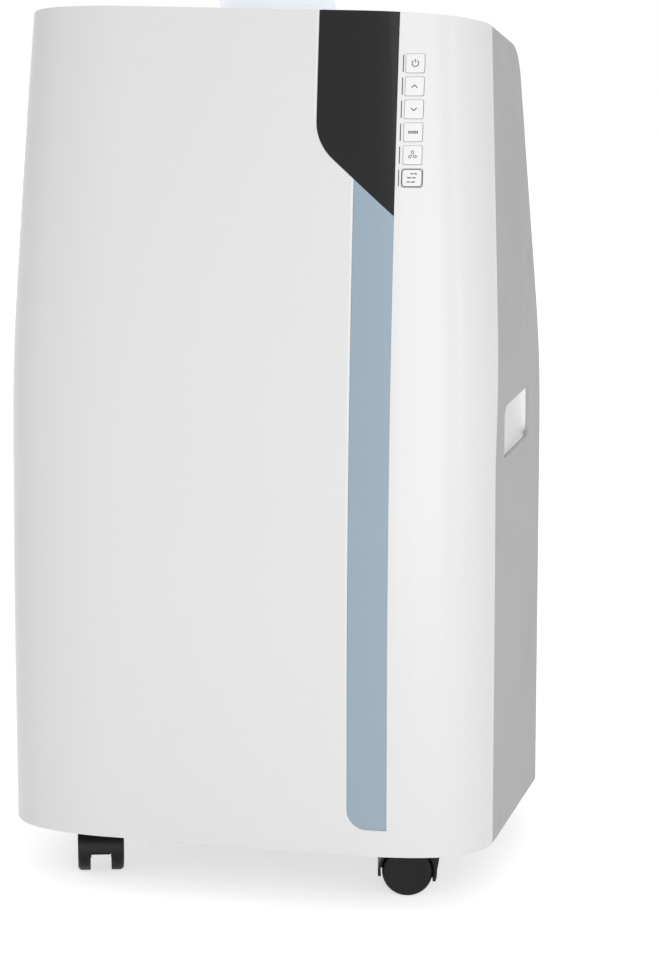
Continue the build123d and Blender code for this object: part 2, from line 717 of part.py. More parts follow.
def collar_screws():
    reach = (COLLAR_BORE + COLLAR_WALL + COLLAR_FLANGE) / 2
    return [(reach * cos(angle), COLLAR_Z + reach * sin(angle)) for angle in (45, 135, 225, 315)]


def base_screws():
    return [(x, FLOOR_Z + RIM_TALL / 2) for x in (-LOWER_DRAIN_X / 2, LOWER_DRAIN_X / 2)]


def rear_shell():
    shell = (wall_solid(rear_plan, 0) & under_rear_top())
    shell -= wall_solid(rear_plan, REAR_WALL) & under_rear_top(REAR_WALL)
    shell -= ahead_of_flange(0)
    y_seat = REAR_Y - SEAT_DEEP
    y_back = REAR_Y - SEAT_DEEP - REAR_WALL
    for half, z_low, tall in ((INTAKE_WIDE / 2, INTAKE_Z, INTAKE_TALL),
                              (LOWER_WIDE / 2, LOWER_Z, LOWER_TALL)):
        rim = SHUT_GAP + REAR_WALL
        shell += block(-half - rim, half + rim, y_back, REAR_Y - REAR_WALL / 2, z_low - rim,
                       z_low + tall + rim)
        shell -= block(-half - SHUT_GAP, half + SHUT_GAP, y_seat, FAR, z_low - SHUT_GAP,
                       z_low + tall + SHUT_GAP)
        shell -= block(-half + SEAT, half - SEAT, 0, FAR, z_low + SEAT, z_low + tall - SEAT)
    shell -= rod_y(COLLAR_BORE + COLLAR_WALL + TOUCH, 0, FAR, 0, COLLAR_Z)
    for x, z in DRAINS.values():
        shell -= rod_y(SPOUT_RADIUS, 0, FAR, x, z)
    shell -= rod_y(GLAND_RADIUS, 0, FAR, GLAND_X, GLAND_Z)
    for x, z in lower_grille_screws():
        shell += rod_y(2 * SCREW_HEAD, REAR_Y - SCREW_LONG, REAR_Y - REAR_WALL, x, z) - block(
            -FAR, FAR, y_seat, FAR, 0, FAR)
    for x, z in lower_grille_screws() + collar_screws() + base_screws():
        shell -= rod_y(SCREW_SHANK, 0, FAR, x, z)
    for lug in hinge_lugs():
        shell += lug
    return shell


def window_cuts(places, wide, tall):
    """Rectangular holes at every place of a grid in the upright plane."""
    openings = Sketch() + [place * Rectangle(wide, tall) for place in places]
    return extrude(Plane.XZ * openings, amount=DEPTH, both=True)


def grille_plate(wide, tall, z_low, y_low, y_high):
    """Frame with level slats and a few upright ribs."""
    half = wide / 2
    plate = block(-half, half, y_low, y_high, z_low, z_low + tall)
    inner_wide = wide - 2 * GRILLE_BORDER
    inner_tall = tall - 2 * GRILLE_BORDER
    rows = int((inner_tall + SLAT_THICK) / SLAT_PITCH)
    row_pitch = (inner_tall + SLAT_THICK) / rows
    cell = (inner_wide + RIB_THICK) / (RIB_COUNT + 1)
    places = GridLocations(cell, row_pitch, RIB_COUNT + 1, rows)
    cuts = window_cuts(places, cell - RIB_THICK, row_pitch - SLAT_THICK)
    return plate - Pos(0, y_low, z_low + tall / 2) * cuts


def intake_grille():
    """Grille with two knuckles below it and stub pins that turn in the lugs."""
    y_low = REAR_Y - SEAT_DEEP + TOUCH
    grille = grille_plate(INTAKE_WIDE, INTAKE_TALL, INTAKE_Z, y_low, KNUCKLE_Y)
    half = KNUCKLE_LONG / 2
    reach = half + SHUT_GAP + LUG_WIDE
    for x in (-KNUCKLE_X, KNUCKLE_X):
        grille += rod_x(KNUCKLE_RADIUS, x - half, x + half, KNUCKLE_Y, KNUCKLE_Z)
        grille += block(x - half, x + half, KNUCKLE_Y - KNUCKLE_RADIUS, KNUCKLE_Y, KNUCKLE_Z,
                        INTAKE_Z + GRILLE_BORDER / 2)
        grille += rod_x(KNUCKLE_PIN, x - reach, x + reach, KNUCKLE_Y, KNUCKLE_Z)
    return grille


def air_filter():
    """Frame and woven screen, clipped behind the intake grille."""
    y_high = REAR_Y - SEAT_DEEP + TOUCH
    y_low = y_high - FILTER_THICK
    half = INTAKE_WIDE / 2 - FILTER_MARGIN
    z_low = INTAKE_Z + FILTER_MARGIN
    z_high = INTAKE_Z + INTAKE_TALL - FILTER_MARGIN
    frame = block(-half, half, y_low, y_high, z_low, z_high)
    columns, rows = FILTER_CELLS
    cell_x = (2 * half - RIB_THICK) / columns
    cell_z = (z_high - z_low - RIB_THICK) / rows
    places = GridLocations(cell_x, cell_z, columns, rows)
    cuts = window_cuts(places, cell_x - RIB_THICK, cell_z - RIB_THICK)
    frame -= Pos(0, y_low, (z_low + z_high) / 2) * cuts
    y_screen = (y_low + y_high - SCREEN_THICK) / 2
    screen = block(-half + SCREEN_EDGE, half - SCREEN_EDGE, y_screen, y_screen + SCREEN_THICK,
                   z_low + SCREEN_EDGE, z_high - SCREEN_EDGE)
    return frame + screen


def lower_grille():
    y_low = REAR_Y - SEAT_DEEP
    grille = grille_plate(LOWER_WIDE, LOWER_TALL, LOWER_Z, y_low, y_low + GRILLE_THICK)
    for x, z in lower_grille_screws():
        grille -= rod_y(SCREW_SHANK + TOUCH, 0, FAR, x, z)
    return grille


def hose_collar():
    """Round socket for the exhaust hose, with a screwed flange."""
    outer = COLLAR_BORE + COLLAR_WALL
    collar = rod_y(outer, REAR_Y - REAR_WALL, DEPTH / 2, 0, COLLAR_Z)
    collar += rod_y(COLLAR_FLANGE, REAR_Y, REAR_Y + COLLAR_PLATE, 0, COLLAR_Z)
    collar -= rod_y(COLLAR_BORE, 0, FAR, 0, COLLAR_Z)
    for x, z in collar_screws():
        collar -= rod_y(SCREW_SHANK + TOUCH, 0, FAR, x, z)
    return collar


def cabinet_screws():
    screws = []
    seats = [(place, REAR_Y - SEAT_DEEP + GRILLE_THICK) for place in lower_grille_screws()]
    seats += [(place, REAR_Y + COLLAR_PLATE) for place in collar_screws()]
    seats += [(place, REAR_Y) for place in base_screws()]
    for (x, z), y_seat in seats:
        screw = rod_y(SCREW_HEAD, y_seat, y_seat + SCREW_HEAD / 2, x, z)
        screw += rod_y(SCREW_SHANK, y_seat - SCREW_LONG, y_seat, x, z)
        screw -= Pos(x, y_seat + SCREW_HEAD / 2, z) * Box(SCREW_HEAD, SCREW_HEAD / 2, SCREW_SHANK / 2)
        screws.append(screw)
    return screws


def drain_spouts():
    spouts = []
    for x, z in DRAINS.values():
        spout = rod_y(SPOUT_RADIUS, REAR_Y - SPOUT_INSIDE, REAR_Y + SPOUT_PROUD, x, z)
        spout += rod_y(SPOUT_RADIUS + WALL, REAR_Y, REAR_Y + REAR_WALL, x, z)
        spouts.append(spout - rod_y(SPOUT_BORE, 0, FAR, x, z))
    return spouts


def drain_plug(place):
    """Rubber stopper with a grip tab, pushed into a spout."""
    x, z = DRAINS[place]
    y_end = REAR_Y + SPOUT_PROUD
    plug = rod_y(SPOUT_BORE - TOUCH / 2, y_end - PLUG_GRIP, y_end + PLUG_HEAD, x, z)
    plug += rod_y(SPOUT_RADIUS, y_end + TOUCH, y_end + PLUG_HEAD, x, z)
    y_tab = y_end + PLUG_HEAD + PLUG_TAB_LONG
    tab = block(x - PLUG_TAB_THICK / 2, x + PLUG_TAB_THICK / 2, y_end + TOUCH, y_tab,
                z - PLUG_TAB_TALL / 2, z + PLUG_TAB_TALL / 2)
    return plug + tab


def cord_gland():
    gland = rod_y(GLAND_RADIUS, REAR_Y - REAR_WALL, REAR_Y, GLAND_X, GLAND_Z)
    gland += rod_y(GLAND_RADIUS + WALL, REAR_Y, REAR_Y + WALL, GLAND_X, GLAND_Z)
    gland += rod_y(GLAND_RADIUS + WALL, REAR_Y - REAR_WALL - WALL, REAR_Y - REAR_WALL, GLAND_X,
                   GLAND_Z)
    return gland - rod_y(GLAND_BORE, 0, FAR, GLAND_X, GLAND_Z)


# ------------------------------------------------------------------ base, deck and casters
def tray(z_low, z_high, inset):
    """Plate that fills the inside from wall to wall, stepping in at the flange line."""
    front = front_plan(z_high, LEDGE_BACK + SHUT_GAP + inset)
    rear = rear_plan(z_high, REAR_WALL + SHUT_GAP + inset)
    y_cut = cheek_y(z_high, FLANGE) - SHUT_GAP
    keep_front = Pos(0, y_cut - FAR / 2, z_high) * Rectangle(FAR, FAR)
    keep_rear = Pos(0, y_cut + FAR / 2 - WALL, z_high) * Rectangle(FAR, FAR)
    plan = (front & keep_front) + (rear & keep_rear)
    return Pos(0, 0, z_low - z_high) * extrude(plan, amount=z_high - z_low, dir=(0, 0, 1))


def stem_places():
    y_front = FRONT_Y + STEM_FRONT
    return {"fl": (-STEM_X, y_front), "fr": (STEM_X, y_front),
            "rl": (-STEM_X, y_front + STEM_REAR), "rr": (STEM_X, y_front + STEM_REAR)}


def base_pan():
    pan = tray(BASE_Z + FLOOR_INSET, FLOOR_Z + RIM_TALL, 0)
    pan -= tray(FLOOR_Z, FLOOR_Z + RIM_TALL, RIM_THICK)
    for x, y in stem_places().values():
        pan -= rod_z(SOCKET_RADIUS, 0, FLOOR_Z + FLOOR_THICK, x, y)
    for x, z in base_screws():
        pan -= rod_y(SCREW_SHANK, 0, FAR, x, z)
    x, z = DRAINS["lower"]
    return pan - rod_y(SPOUT_RADIUS + TOUCH, 0, FAR, x, z)


def mid_deck():
    deck = tray(DECK_Z - DECK_THICK, DECK_Z + DECK_RIM, 0)
    deck -= tray(DECK_Z, DECK_Z + DECK_RIM, RIM_THICK)
    for cup_space in (handle_hole(GRIP_WALL + CLEAR), mirrored(handle_hole(GRIP_WALL + CLEAR))):
        deck -= cup_space
    for x in (-EVAP_WIDE / 2 - PIPE_OUT, EVAP_WIDE / 2 + PIPE_OUT):
        deck -= rod_z(PIPE_RADIUS + TOUCH, 0, FAR, x, PIPE_Y)
    x, z = DRAINS["upper"]
    return deck - rod_y(SPOUT_RADIUS + TOUCH, 0, FAR, x, z)


def caster_sockets():
    z_flange = HOOD_TOP + HOOD_GAP
    z_floor = BASE_Z + FLOOR_INSET
    z_cap = HOOD_TOP + STEM_LONG + SOCKET_CAP
    sockets = []
    for x, y in stem_places().values():
        socket = rod_z(SOCKET_RADIUS, z_flange, z_cap, x, y)
        socket += rod_z(SOCKET_FLANGE, z_flange, z_floor, x, y)
        sockets.append(socket - rod_z(STEM_RADIUS + RUN_FIT, 0, HOOD_TOP + STEM_LONG, x, y))
    return sockets


HOOD_TOP = GROUND_GAP - 2 * HOOD_GAP
HOOD_RADIUS = WHEEL_RADIUS + WHEEL_CLEAR + HOOD_THICK


def placed_caster(shape, corner):
    x, y = stem_places()[corner]
    return Pos(x, y, 0) * Rot(0, 0, CASTER_TURNS[corner]) * shape


def caster_fork(corner):
    """Hood, web and stem; the wheels trail towards -Y before the fork is turned."""
    y_axle = -CASTER_TRAIL
    fork = rod_x(HOOD_RADIUS, -HOOD_WIDE / 2, HOOD_WIDE / 2, y_axle, WHEEL_RADIUS)
    fork += extrude(Plane.YZ * make_face(Polyline(
        (y_axle, WHEEL_RADIUS + HOOD_RADIUS), (-STEM_RADIUS, HOOD_TOP), (HOOD_REACH, HOOD_TOP),
        (FIN_REACH, HOOD_FOOT), (y_axle, WHEEL_RADIUS), close=True)),
        amount=HOOD_WIDE / 2, both=True)
    fork -= block(-HOOD_WIDE, HOOD_WIDE, -FAR, FAR, -FAR, HOOD_FOOT)
    web_half = WHEEL_SPREAD - CLEAR
    fork -= block(-web_half, web_half, -FAR, y_axle - WEB_EDGE, 0, WEB_FOOT)
    fork -= block(-web_half, web_half, -FAR, y_axle - NOTCH_BEHIND, 0, NOTCH_TOP)
    for side in (-1, 1):
        x_low, x_high = sorted((side * web_half, side * HOOD_WIDE))
        fork -= rod_x(WHEEL_RADIUS + WHEEL_CLEAR, x_low, x_high, y_axle, WHEEL_RADIUS)
        fork -= block(x_low, x_high, -FAR, y_axle, 0, SKIRT_FOOT)
    fork -= rod_x(AXLE_RADIUS + RUN_FIT, -FAR, FAR, y_axle, WHEEL_RADIUS)
    fork += rod_z(STEM_RADIUS, HOOD_TOP - HOOD_THICK, HOOD_TOP + STEM_LONG - CLEAR, 0, 0)
    return placed_caster(fork, corner)


def caster_wheels(corner):
    """Two domed wheels pressed on one axle."""
    y_axle = -CASTER_TRAIL
    half_axle = WHEEL_SPREAD + WHEEL_THICK / 2
    x_outer = WHEEL_SPREAD + WHEEL_THICK
    wheel = rod_x(WHEEL_RADIUS, WHEEL_SPREAD, x_outer, y_axle, WHEEL_RADIUS)
    wheel = fillet(wheel.edges().sort_by(Axis.X)[-1], WHEEL_DOME)
    wheel -= rod_x(AXLE_RADIUS, 0, half_axle, y_axle, WHEEL_RADIUS)
    axle = rod_x(AXLE_RADIUS, -half_axle, half_axle, y_axle, WHEEL_RADIUS)
    return [placed_caster(piece, corner) for piece in (wheel, mirrored(wheel), axle)]


# ------------------------------------------------------------------ coils and fans
COIL_Y = REAR_Y - COIL_BEHIND - COIL_THICK / 2
PIPE_Y = COIL_Y + TUBE_ROW     # tubes that enter a coil
BEND_Y = COIL_Y - TUBE_ROW     # return bends


def coil(wide, tall, z_low):
    """Finned block with return bends on both ends."""
    y_low = COIL_Y - COIL_THICK / 2
    body = block(-wide / 2, wide / 2, y_low, y_low + COIL_THICK, z_low, z_low + tall)
    bends = int(tall / BEND_PITCH) - 1
    for index in range(bends):
        z_bend = z_low + tall * (index + 1) / (bends + 1)
        for side in (-1, 1):
            place = Pos(side * wide / 2, BEND_Y, z_bend) * Rot(90, 0, 0)
            body += place * Torus(BEND_RADIUS, BEND_TUBE)
    return body


def evaporator_coil():
    return coil(EVAP_WIDE, EVAP_TALL, DECK_Z)


def condenser_coil():
    return coil(COND_WIDE, COND_TALL, FLOOR_Z)


def fan_wheel(x_low, x_high, x_motor, y, z):
    """Drum of blades with a back disc, a front ring, a hub and the shaft."""
    wheel = rod_x(FAN_RADIUS, x_high - FAN_DISC, x_high, y, z)
    ring = rod_x(FAN_RADIUS, x_low, x_low + FAN_DISC, y, z)
    wheel += ring - rod_x(FAN_RADIUS - FAN_BLADE_DEEP, x_low - FAN_DISC, x_high, y, z)
    for index in range(FAN_BLADES):
        angle = index * 360 / FAN_BLADES
        blade = Box(x_high - x_low, FAN_BLADE_DEEP, VANE_THICK)
        reach = FAN_RADIUS - FAN_BLADE_DEEP / 2 - FAN_BLADE_INSET
        turned = Pos(0, reach, 0) * Rot(FAN_BLADE_TURN, 0, 0) * blade
        wheel += Pos((x_low + x_high) / 2, y, z) * Rot(angle, 0, 0) * turned
    wheel += rod_x(HUB_RADIUS, x_high - 4 * FAN_DISC, x_high, y, z)
    return wheel + rod_x(SHAFT_RADIUS, x_high - 4 * FAN_DISC, x_motor, y, z)


COOL_FAN_Y = MOUTH_FRONT + SCROLL_RADIUS - SCROLL_WALL
COOL_FAN_Z = WELL_FOOT - SCROLL_RADIUS - CLEAR
COOL_HALF = MOUTH_HALF + SCROLL_WALL
EXHAUST_FAN_Z = BASE_Z + EXHAUST_FAN_HEIGHT
EXHAUST_HALF = EXHAUST_WIDE / 2


def cool_air_scroll():
    """Blower housing under the outlet well, standing on the deck."""
    y, z = COOL_FAN_Y, COOL_FAN_Z
    inner = SCROLL_RADIUS - SCROLL_WALL
    housing = rod_x(SCROLL_RADIUS, -COOL_HALF, COOL_HALF, y, z)
    housing += block(-COOL_HALF, COOL_HALF, y - SCROLL_RADIUS, MOUTH_REAR + SCROLL_WALL, z,
                     WELL_FOOT - TOUCH)
    for side in (-1, 1):
        x_low, x_high = sorted((side * (COOL_HALF - SCROLL_WALL), side * COOL_HALF))
        housing += block(x_low, x_high, y - COOL_FOOT_DEEP / 2, y + COOL_FOOT_DEEP / 2, DECK_Z, z)
    housing -= rod_x(inner, -MOUTH_HALF, MOUTH_HALF, y, z)
    housing -= block(-MOUTH_HALF, MOUTH_HALF, MOUTH_FRONT, MOUTH_REAR, z, FAR)
    housing -= rod_x(FAN_RADIUS - FAN_BLADE_DEEP, -FAR, 0, y, z)
    return housing - rod_x(SHAFT_RADIUS + SHAFT_CLEAR, 0, FAR, y, z)


def exhaust_scroll():
    """Blower housing that feeds the box behind the hose collar."""
    y, z = EXHAUST_FAN_Y, EXHAUST_FAN_Z
    inner = SCROLL_RADIUS - SCROLL_WALL
    half = EXHAUST_HALF
    y_box = REAR_Y - REAR_WALL - TOUCH
    z_duct = z + SCROLL_RADIUS - EXHAUST_DUCT - SCROLL_WALL
    housing = rod_x(SCROLL_RADIUS, -half, half, y, z)
    housing += block(-half, half, y, y_box - PLENUM_DEEP + SCROLL_WALL, z_duct, z + SCROLL_RADIUS)
    housing += block(-PLENUM, PLENUM, y_box - PLENUM_DEEP, y_box, COLLAR_Z - PLENUM,
                     COLLAR_Z + PLENUM)
    for side in (-1, 1):
        x_low, x_high = sorted((side * (half - SCROLL_WALL), side * half))
        housing += block(x_low, x_high, y - EXHAUST_FOOT_DEEP / 2, y + EXHAUST_FOOT_DEEP / 2,
                         FLOOR_Z, z)
    housing -= rod_x(inner, -half + SCROLL_WALL, half - SCROLL_WALL, y, z)
    wall = SCROLL_WALL
    housing -= block(-half + wall, half - wall, y, y_box - PLENUM_DEEP + 2 * wall, z_duct + wall,
                     z + SCROLL_RADIUS - wall)
    housing -= block(-PLENUM + wall, PLENUM - wall, y_box - PLENUM_DEEP + wall, FAR,
                     COLLAR_Z - PLENUM + wall, COLLAR_Z + PLENUM - wall)
    housing -= rod_x(FAN_RADIUS - FAN_BLADE_DEEP, -FAR, 0, y, z)
    return housing - rod_x(SHAFT_RADIUS + SHAFT_CLEAR, 0, FAR, y, z)


def cool_fan_wheel():
    half = MOUTH_HALF - COOL_FAN_GAP
    return fan_wheel(-half, half, COOL_HALF + MOTOR_LONG / 2, COOL_FAN_Y, COOL_FAN_Z)


def exhaust_fan_wheel():
    half = EXHAUST_HALF - SCROLL_WALL - EXHAUST_FAN_GAP
    return fan_wheel(-half, half, EXHAUST_HALF + MOTOR_LONG / 2, EXHAUST_FAN_Y, EXHAUST_FAN_Z)


def fan_motor(x_face, y, z):
    motor = rod_x(MOTOR_RADIUS, x_face, x_face + MOTOR_LONG, y, z)
    motor = fillet(motor.edges().sort_by(Axis.X)[-1], MOTOR_EDGE)
    return motor - rod_x(SHAFT_RADIUS + RUN_FIT, 0, x_face + MOTOR_LONG / 2 + CLEAR, y, z)


# ------------------------------------------------------------------ refrigerant circuit
FOOT_Z = FLOOR_Z + GROMMET_TALL
SHELL_TOP = FOOT_Z + FOOT_THICK + COMPRESSOR_TALL
TANK_Y = COMPRESSOR_Y - COMPRESSOR_RADIUS - TANK_RADIUS - TANK_GAP
TANK_FOOT = FOOT_Z + COMPRESSOR_RADIUS
TANK_TOP = TANK_FOOT + TANK_TALL


def compressor():
    x, y = COMPRESSOR_X, COMPRESSOR_Y
    shell = rod_z(COMPRESSOR_RADIUS, FOOT_Z + FOOT_THICK, SHELL_TOP, x, y)
    shell = fillet(shell.edges().filter_by(GeomType.CIRCLE).sort_by(Axis.Z)[-1],
                   COMPRESSOR_RADIUS / 3)
    foot = rod_z(FOOT_RADIUS, FOOT_Z, FOOT_Z + FOOT_THICK, x, y)
    tank = rod_z(TANK_RADIUS, TANK_FOOT, TANK_TOP, x, TANK_Y)
    tank = fillet(tank.edges().filter_by(GeomType.CIRCLE), TANK_RADIUS / 2)
    strap = block(x - STRAP_WIDE / 2, x + STRAP_WIDE / 2, TANK_Y, y - COMPRESSOR_RADIUS / 2,
                  TANK_FOOT + STRAP_UP, TANK_FOOT + STRAP_UP + STRAP_TALL)
    return shell + foot + tank + strap


def compressor_grommets():
    reach = FOOT_RADIUS - GROMMET_RADIUS
    places = [(COMPRESSOR_X + reach * cos(angle), COMPRESSOR_Y + reach * sin(angle))
              for angle in (90, 210, 330)]
    return [rod_z(GROMMET_RADIUS, FLOOR_Z, FOOT_Z, x, y) for x, y in places]


def pipe(points):
    """Round tube along straight runs joined by bends."""
    path = FilletPolyline(*points, radius=PIPE_BEND)
    start = Plane(origin=path @ 0, z_dir=path % 0)
    return sweep(start * Circle(PIPE_RADIUS), path=path)


def pipe_ends():
    x_evap = EVAP_WIDE / 2
    x_cond = COND_WIDE / 2
    return x_evap, x_cond, x_evap + PIPE_OUT


def refrigerant_pipes():
    x_evap, x_cond, x_out = pipe_ends()
    z_cross = DECK_Z - DECK_THICK - 3 * PIPE_BEND
    z_evap = DECK_Z + 3 * PIPE_BEND
    z_cond = FLOOR_Z + COND_TALL - 2 * PIPE_BEND
    z_liquid = FLOOR_Z + 2 * PIPE_BEND
    y_discharge = COMPRESSOR_Y + COMPRESSOR_RADIUS / 3
    x_side = -x_out + 2 * PIPE_BEND
    discharge = pipe([(COMPRESSOR_X, y_discharge, SHELL_TOP),
                      (COMPRESSOR_X, y_discharge, SHELL_TOP + 2 * PIPE_BEND),
                      (-x_out, y_discharge, SHELL_TOP + 2 * PIPE_BEND),
                      (-x_out, PIPE_Y, SHELL_TOP + 2 * PIPE_BEND),
                      (-x_out, PIPE_Y, z_cond), (-x_cond, PIPE_Y, z_cond)])
    suction = pipe([(-x_evap, PIPE_Y, z_evap), (-x_out, PIPE_Y, z_evap),
                    (-x_out, PIPE_Y, z_cross), (-x_out, TANK_Y, z_cross),
                    (COMPRESSOR_X, TANK_Y, z_cross), (COMPRESSOR_X, TANK_Y, TANK_TOP)])
    liquid_low = pipe([(x_cond, PIPE_Y, z_liquid), (x_out, PIPE_Y, z_liquid),
                       (x_out, PIPE_Y, drier_foot())])
    liquid_high = pipe([(x_out, PIPE_Y, drier_foot() + DRIER_TALL), (x_out, PIPE_Y, z_evap),
                        (x_evap, PIPE_Y, z_evap)])
    return [discharge, suction, liquid_low, liquid_high]


def drier_foot():
    return FLOOR_Z + 6 * PIPE_BEND


def filter_drier():
    x_out = pipe_ends()[2]
    drier = rod_z(DRIER_RADIUS, drier_foot(), drier_foot() + DRIER_TALL, x_out, PIPE_Y)
    return fillet(drier.edges().filter_by(GeomType.CIRCLE), DRIER_RADIUS / 2)


# ------------------------------------------------------------------ electrics
BOX_X = COOL_HALF + MOTOR_LONG / 2
BOX_Y = FRONT_Y + BOX_BEHIND


def electrical_box():
    box = block(BOX_X, BOX_X + BOX_WIDE, BOX_Y, BOX_Y + BOX_DEEP, DECK_Z, DECK_Z + BOX_TALL)
    z_line = DECK_Z + BOX_TALL - BOX_LID
    layer = block(BOX_X, BOX_X + BOX_WIDE, BOX_Y, BOX_Y + BOX_DEEP, z_line - BOX_LINE, z_line)
    core = block(BOX_X + BOX_LINE, BOX_X + BOX_WIDE - BOX_LINE, BOX_Y + BOX_LINE,
                 BOX_Y + BOX_DEEP - BOX_LINE, DECK_Z, DECK_Z + BOX_TALL)
    return box - (layer - core)


def run_capacitor():
    x_mid = BOX_X - CAPACITOR_RADIUS - CAPACITOR_GAP
    y_mid = BOX_Y + BOX_DEEP / 2
    z_top = DECK_Z + CAPACITOR_TALL
    can = rod_z(CAPACITOR_RADIUS, DECK_Z, z_top, x_mid, y_mid)
    for x in (x_mid - TERMINAL_X, x_mid + TERMINAL_X):
        can += block(x - TERMINAL_THICK / 2, x + TERMINAL_THICK / 2, y_mid - TERMINAL_WIDE / 2,
                     y_mid + TERMINAL_WIDE / 2, z_top - TOUCH, z_top + TERMINAL_TALL)
    return can


def control_board():
    """Flat board behind the display and keys, on four posts against the ledge."""
    z_mid = TOP_Z - KEY_DROP - KEY_PITCH * (len(KEY_NAMES) - 1) / 2
    tilt = math.degrees(math.asin((z_mid - BASE_Z - FRONT_CREST) / LEAN_RADIUS))
    y_face = FRONT_Y + lean(z_mid)
    board = Pos(0, BOARD_BEHIND + BOARD_THICK / 2, 0) * Box(BOARD_WIDE, BOARD_THICK, BOARD_TALL)
    post = BOARD_BEHIND - LEDGE_BACK - SHUT_GAP - CLEAR
    for x in (-BOARD_WIDE / 2 + POST_EDGE, 0):
        for z in (-BOARD_TALL / 2 + POST_RISE, BOARD_TALL / 2 - POST_DROP):
            board += rod_y(POST_RADIUS, BOARD_BEHIND - post, BOARD_BEHIND, x, z)
    x_mid = KEY_X + KEY_WIDTH / 2 - BOARD_WIDE / 2
    return Pos(x_mid, y_face, z_mid) * Rot(-tilt, 0, 0) * board


def uv_lamp():
    z_mid = DECK_Z + EVAP_TALL / 2
    y_coil = COIL_Y - COIL_THICK / 2
    lamp = block(-LAMP_LONG / 2, LAMP_LONG / 2, y_coil - LAMP_DEEP / 2, y_coil,
                 z_mid - LAMP_TALL / 2, z_mid + LAMP_TALL / 2)
    for index in range(LAMP_COUNT):
        x = (index - (LAMP_COUNT - 1) / 2) * LAMP_LONG / LAMP_COUNT
        lamp += rod_y(LAMP_RADIUS, y_coil - LAMP_DEEP, y_coil - LAMP_DEEP / 4, x, z_mid)
    return lamp


# ------------------------------------------------------------------ write every node
def write(name, shape):
    if isinstance(shape, list):
        shape = Compound(children=[Compound(piece.solids()) if len(piece.solids()) > 1
                                   else piece.solid() for piece in shape])
    shape.label = name
    export_step(shape, f"parts/{name}.step")


def main():
    os.makedirs("parts", exist_ok=True)
    side_right = side_panel_right()
    cup_right = handle_cup_right()
    write("front_panel", front_panel())
    write("control_column", control_column())
    write("display_panel", display_panel())
    write("accent_strip", accent_strip())
    write("side_panel_right", side_right)
    write("side_panel_left", mirrored(side_right))
    write("handle_cup_right", cup_right)
    write("handle_cup_left", mirrored(cup_right))
    write("top_cover", top_cover())
    write("outlet_well", outlet_well())
    write("air_flap", air_flap())
    write("flap_motor", flap_motor())
    for index in range(VANE_COUNT):
        write(f"vane_{index + 1}", vane(index))
    write("vane_link", vane_link())
    for index, name in enumerate(KEY_NAMES):
        write(f"key_{name}", key_cap(index))
    write("rear_shell", rear_shell())
    write("intake_grille", intake_grille())
    write("air_filter", air_filter())
    write("lower_grille", lower_grille())
    write("hose_collar", hose_collar())
    write("cabinet_screws", cabinet_screws())
    write("drain_spouts", drain_spouts())
    for place in DRAINS:
        write(f"drain_plug_{place}", drain_plug(place))
    write("cord_gland", cord_gland())
    write("base_pan", base_pan())
    write("mid_deck", mid_deck())
    write("caster_sockets", caster_sockets())
    for corner in CASTER_TURNS:
        write(f"caster_fork_{corner}", caster_fork(corner))
        write(f"caster_wheels_{corner}", caster_wheels(corner))
    write("evaporator_coil", evaporator_coil())
    write("condenser_coil", condenser_coil())
    write("cool_air_scroll", cool_air_scroll())
    write("exhaust_scroll", exhaust_scroll())
    write("cool_fan_wheel", cool_fan_wheel())
    write("exhaust_fan_wheel", exhaust_fan_wheel())
    write("cool_fan_motor", fan_motor(COOL_HALF, COOL_FAN_Y, COOL_FAN_Z))
    write("exhaust_fan_motor", fan_motor(EXHAUST_HALF, EXHAUST_FAN_Y, EXHAUST_FAN_Z))
    write("compressor", compressor())
    write("compressor_grommets", compressor_grommets())
    write("refrigerant_pipes", refrigerant_pipes())
    write("filter_drier", filter_drier())
    write("electrical_box", electrical_box())
    write("run_capacitor", run_capacitor())
    write("control_board", control_board())
    write("uv_lamp", uv_lamp())


main()
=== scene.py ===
# %% [markdown]
# # Dressing a portable air conditioner
#
# The construction is finished: every casing, key, vane and wheel exists as a plain solid at its
# real size. This lesson gives those solids their finish. It reads the solids as a fixed frame,
# replaces the large covers with smooth surfaces that are worked out with numpy, and gives every
# other piece a modelled edge and a material of its own.
#
# All lengths are in metres. X runs to the right of someone facing the front, Y runs to the rear
# and Z runs up from the floor.

import json
import math

import bmesh
import bpy
import numpy as np
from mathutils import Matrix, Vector


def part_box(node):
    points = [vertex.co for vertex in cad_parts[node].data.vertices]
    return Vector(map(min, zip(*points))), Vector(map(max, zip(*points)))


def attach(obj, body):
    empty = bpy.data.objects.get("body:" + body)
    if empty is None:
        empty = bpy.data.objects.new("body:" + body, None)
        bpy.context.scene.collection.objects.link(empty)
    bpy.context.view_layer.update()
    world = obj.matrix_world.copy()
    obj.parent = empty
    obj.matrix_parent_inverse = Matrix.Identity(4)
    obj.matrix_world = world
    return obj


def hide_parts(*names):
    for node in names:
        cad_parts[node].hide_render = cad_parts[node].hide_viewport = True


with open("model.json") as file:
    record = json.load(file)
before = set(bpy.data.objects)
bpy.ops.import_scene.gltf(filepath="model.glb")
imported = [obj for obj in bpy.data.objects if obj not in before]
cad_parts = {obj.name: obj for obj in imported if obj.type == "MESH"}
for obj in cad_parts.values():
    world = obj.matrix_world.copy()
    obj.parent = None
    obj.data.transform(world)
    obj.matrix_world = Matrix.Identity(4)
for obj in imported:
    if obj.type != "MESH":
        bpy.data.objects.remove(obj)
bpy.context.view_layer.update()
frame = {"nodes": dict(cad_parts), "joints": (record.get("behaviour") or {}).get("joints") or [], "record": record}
nodes = frame["nodes"]
MM = 0.001

# %% [markdown]
# ## The camera
#
# A tall appliance is best shown from a few metres away with a long lens, so that its upright
# edges stay nearly parallel. The camera stands to the right of the unit, a little above its top,
# and looks down at it. A target point could aim it. Here its aim is a turn about Z and a fall below
# the horizon, because those are the two angles of a tripod head, and each can be set on its own.

